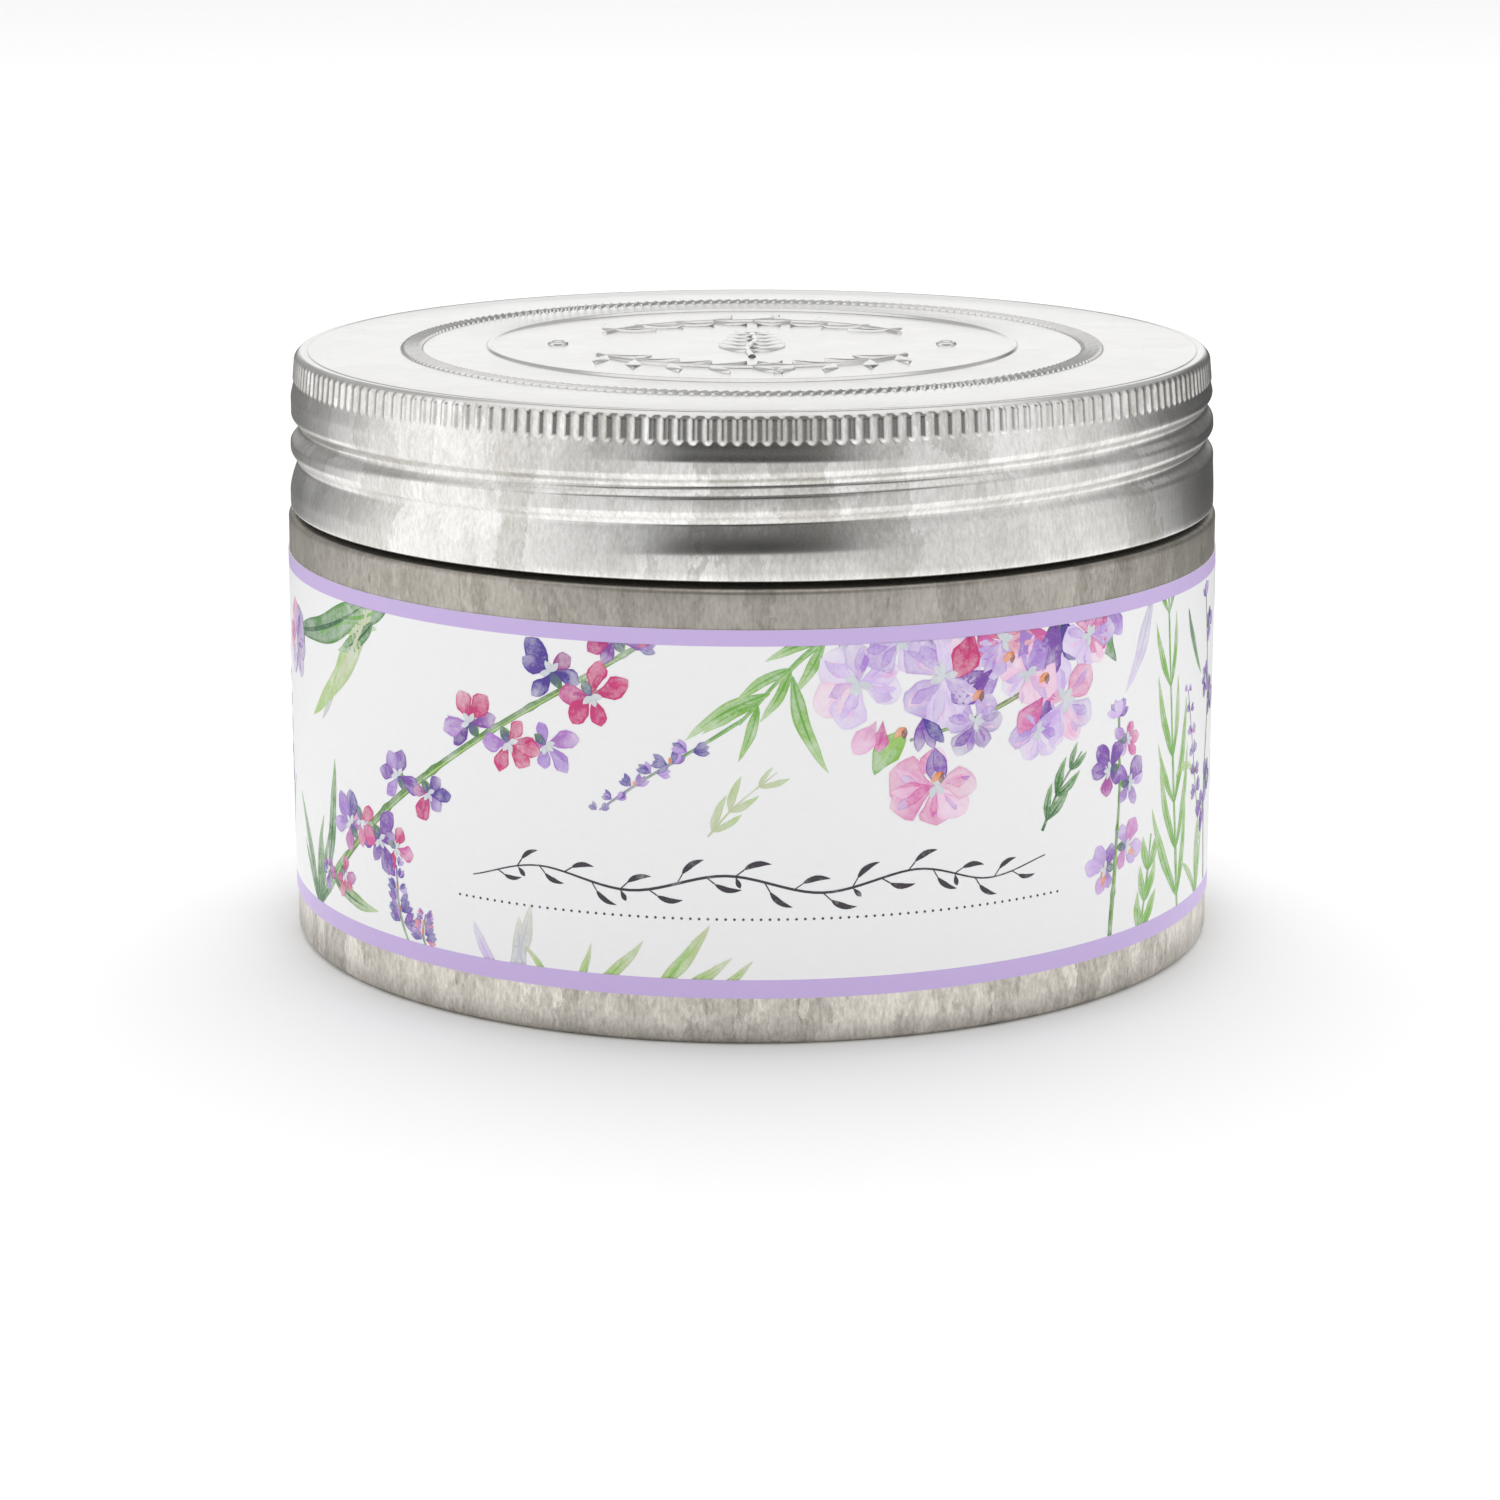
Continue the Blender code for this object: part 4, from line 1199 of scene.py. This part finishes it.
# ---------------------------------------------------------------- studio

def soft_band(value, middle, half, blur):
    """1 within half of the middle, easing to 0 over the blur."""
    return 1.0 - smooth_step((np.abs(value - middle) - half) / blur)


def toward(value, target, share):
    """Move a value towards a target by a share."""
    return value + (target - value) * share


# Brightness of the tent's parts; pairs hold the left and the right
SIDE_GLOW = 0.8
PANEL_EXTRA_GLOW = (0.4, 0.14)
FLAG_GLOW = (0.18, 0.07)
FLAG_MIDDLE_GLOW = 0.05
WALL_GLOW = (0.36, 0.14)
HIGH_WALL_GLOW = 0.6
MIDDLE_WALL_GLOW = 1.04
CARD_GLOW = 0.01
TABLE_GLOW = 0.95
NEAR_TABLE_GLOW = 1.2
GAP_GLOW = 0.18
ROOF_GLOW = 1.0


def tent_glow(azimuth, elevation):
    """Brightness of the studio's surroundings as the metal sees them, for directions in degrees."""
    away = np.abs(azimuth)
    on_right = smooth_step(azimuth / 20.0)
    # Bright side panels, and dark flags towards the rear
    glow = SIDE_GLOW + toward(*PANEL_EXTRA_GLOW, on_right) * soft_band(away, 80.0, 15.0, 24.0)
    rear = smooth_step((away - 97.0 + 15.0 * on_right) / (53.0 + 5.0 * on_right))
    flag = toward(toward(*FLAG_GLOW, on_right), FLAG_MIDDLE_GLOW, smooth_step((away - 156.0) / 10.0))
    glow = toward(glow, flag, rear)
    # The wall above the flags: lighter higher up, brightest straight behind the tin
    wall = toward(toward(*WALL_GLOW, on_right), HIGH_WALL_GLOW, smooth_step((elevation - 18.0) / 10.0))
    wall = toward(wall, MIDDLE_WALL_GLOW, smooth_step((away - 157.0) / 10.0))
    glow = toward(glow, wall, smooth_step((elevation + 3.0) / 6.0) * rear)
    # A dark card in front, over the pale table
    front = 1.0 - smooth_step((away - 14.0) / 22.0)
    above_table = smooth_step((elevation + 9.5) / 10.5)
    under_card_top = 1.0 - smooth_step((elevation - 21.0) / 8.0)
    glow = toward(glow, CARD_GLOW, front * above_table * under_card_top)
    glow = toward(glow, TABLE_GLOW, front * (1.0 - above_table))
    near = 1.0 - smooth_step((elevation + 19.0) / 5.0)
    glow = toward(glow, NEAR_TABLE_GLOW, near * (1.0 - 0.6 * rear))
    # A dim gap under the roof, fainter at the sides
    gap = soft_band(elevation, 40.0, 9.0, 8.0) * (1.0 - 0.75 * soft_band(away, 110.0, 50.0, 14.0))
    return toward(toward(glow, GAP_GLOW, gap), ROOF_GLOW, smooth_step((elevation - 50.0) / 8.0))


TENT_EYE_Z = 60.0 * MM
TENT_EYE_R = 50.0 * MM
TENT_TABLE_Z = 1.0 * MM
TENT_TABLE_R = (0.0605, 0.075, 0.09, 0.12, 0.16, 0.21, 0.28, 0.38, 0.52, 0.75, 1.1)
TENT_WALL_R = 1.6
TENT_ROOF_Z = 1.9
TENT_COLUMNS = 145


def build_tent():
    """A soft-box tent with flags, seen only in the metal's reflections."""
    section = [(r, TENT_TABLE_Z) for r in TENT_TABLE_R]
    section += [(TENT_WALL_R, z) for z in np.linspace(0.0, TENT_ROOF_Z, 36)]
    section += [(r, TENT_ROOF_Z) for r in np.linspace(1.5, 0.02, 16)]
    verts, glows = [], []
    for radius, z in section:
        elevation = atan2(z - TENT_EYE_Z, radius - TENT_EYE_R) * 180.0 / pi
        for azimuth in np.linspace(-180.0, 180.0, TENT_COLUMNS):
            turn = radians(azimuth)
            verts.append((radius * sin(turn), -radius * cos(turn), z))
            glows.append(float(tent_glow(azimuth, elevation)))
    faces = []
    for row in range(len(section) - 1):
        for low in range(row * TENT_COLUMNS, (row + 1) * TENT_COLUMNS - 1):
            high = low + TENT_COLUMNS
            faces.append((low, low + 1, high + 1, high))
    data = bpy.data.meshes.new("studio_tent")
    data.from_pydata(verts, [], faces)
    glow = data.attributes.new("glow", 'FLOAT', 'POINT')
    glow.data.foreach_set("value", glows)
    material = bpy.data.materials.new("tent_light")
    material.use_nodes = True
    tree = material.node_tree
    tree.nodes.clear()
    value = add_node(tree, "ShaderNodeAttribute", {"attribute_name": "glow"}).outputs["Fac"]
    light = add_node(tree, "ShaderNodeEmission", Strength=value)
    add_node(tree, "ShaderNodeOutputMaterial", Surface=light.outputs[0])
    data.materials.append(material)
    item = add_object("studio_tent", data)
    item.visible_camera = False
    item.visible_diffuse = False
    item.visible_shadow = False
    item.visible_transmission = False


FLOOR_HALF = 4.0
FLOOR_GREYS = (0.875, 0.88)
SKY_GLOW = (0.91, 1.25)
SOFTBOX_SIZE = (1.2, 1.0)
SOFTBOX_WATTS = 6.0
SOFTBOX_BACK = 0.6
SOFTBOX_UP = 1.4


def build_studio():
    """White floor and world, an overhead softbox and a tent for the metal."""
    floor_mesh = bpy.data.meshes.new("floor")
    corners = [(-1.0, -1.0), (1.0, -1.0), (1.0, 1.0), (-1.0, 1.0)]
    floor_mesh.from_pydata([(x * FLOOR_HALF, y * FLOOR_HALF, 0.0) for x, y in corners], [], [(0, 1, 2, 3)])
    material, tree, shader = new_material("studio_floor")
    tint = noise(tree, stretch(tree, (1.0, 1.0, 1.0)), 2.0, 2.0)
    greys = blend_colours(tree, tint, *((grey, grey, grey) for grey in FLOOR_GREYS))
    feed(tree, shader, Base_Color=greys, Roughness=0.9, Specular_IOR_Level=0.0)
    floor_mesh.materials.append(material)
    floor = add_object("floor", floor_mesh)

    world = bpy.data.worlds.new("studio")
    world.use_nodes = True
    sky = world.node_tree
    direction = add_node(sky, "ShaderNodeTexCoord").outputs["Generated"]
    behind = add_node(sky, "ShaderNodeVectorMath", {"operation": 'DOT_PRODUCT'}, i0=direction,
                      i1=(0.0, 1.0, 0.2))
    strength = remap(sky, behind.outputs["Value"], -0.4, 1.0, *SKY_GLOW)
    feed(sky, sky.nodes["Background"], Strength=strength, Color=(1.0, 1.0, 1.0, 1.0))
    bpy.context.scene.world = world

    light = bpy.data.lights.new("overhead", 'AREA')
    light.shape = 'RECTANGLE'
    light.size, light.size_y = SOFTBOX_SIZE
    light.energy = SOFTBOX_WATTS
    item = add_object("overhead", light)
    item.location = (0.0, SOFTBOX_BACK, SOFTBOX_UP)
    item.rotation_euler = (-atan2(SOFTBOX_BACK, SOFTBOX_UP), 0.0, 0.0)
    item.visible_glossy = False

    build_tent()


CAMERA_LENS = 97.49
CAMERA_ASIDE = -0.25 * MM
CAMERA_AWAY = 8.6804 * LABEL_R
CAMERA_UP = 2.4357 * LABEL_R
CAMERA_DOWN_TILT = 13.426


def build_camera():
    """Camera at product height, looking slightly down."""
    data = bpy.data.cameras.new("camera")
    data.lens = CAMERA_LENS
    data.sensor_width = 36.0
    data.clip_start = 0.05
    item = add_object("camera", data)
    item.location = (CAMERA_ASIDE, -CAMERA_AWAY, CAMERA_UP)
    item.rotation_euler = (radians(90.0 - CAMERA_DOWN_TILT), 0.0, 0.0)
    bpy.context.scene.camera = item


# ---------------------------------------------------------------- assembly

def dress_nodes(materials):
    """Give the CAD nodes that stay in view their own materials."""
    for prefix, material in materials.items():
        for name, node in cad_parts.items():
            if name.startswith(prefix):
                for slot in node.material_slots:
                    slot.material = material


def main():
    """Build every piece, then the studio."""
    lid_metal = galvanised(
        "lid_spangle", srgb(176, 171, 163), srgb(252, 252, 251), roughness=(0.17, 0.31), patch=210.0,
        upright=0.42, weights=(0.36, 0.27, 0.37), grain_depth=0.005 * MM, calm_above=PANEL_Z - 0.7 * MM)
    # The can's last pair of factors paints light and shade: a lighter foot as if reflecting the floor, a
    # darker shoulder as if shaded by the lid
    can_metal = galvanised(
        "can_spangle", srgb(126, 121, 112), srgb(217, 212, 203), roughness=(0.34, 0.5), patch=240.0,
        upright=0.4, weights=(0.3, 0.3, 0.4), grain_depth=0.007 * MM, painted_light_and_shade=(1.25, 0.78))
    paper = coated_paper("label_stock", PAPER_WHITE)
    band = coated_paper("lavender_band", srgb(198, 176, 224))
    rule = coated_paper("grey_rule", srgb(128, 126, 134))
    wax = soft_matter("soy_wax", srgb(243, 236, 220), srgb(250, 245, 232), 120.0, 0.42, 0.04 * MM)
    wax_tree = wax.node_tree
    feed(wax_tree, wax_tree.nodes["Principled BSDF"], Subsurface_Weight=0.25, Subsurface_Scale=0.004)
    cotton = soft_matter("wick_cotton", srgb(226, 216, 196), srgb(246, 240, 226), 2600.0, 0.8, 0.03 * MM)

    build_lid(lid_metal)
    build_emblem(lid_metal)
    build_tin(can_metal)
    build_label(paper, band)
    build_artwork(PAPER_WHITE)
    build_wax(wax)
    for number in (1, 2, 3):
        build_wick(number, cotton)
    build_base_label(paper, rule)
    sticker_foam = soft_matter("sticker_foam", srgb(228, 226, 220), srgb(240, 239, 234), 1500.0, 0.8,
                               0.02 * MM)
    liner_foam = soft_matter("liner_foam", srgb(232, 232, 230), srgb(243, 243, 241), 1900.0, 0.7, 0.03 * MM)
    dress_nodes({"wick_sustainer": plain_metal("tab_tinplate", srgb(186, 184, 180), 0.3),
                 "wick_sticker": sticker_foam, "lid_liner": liner_foam})
    build_studio()
    build_camera()
    bpy.context.scene.view_settings.view_transform = 'Standard'


main()
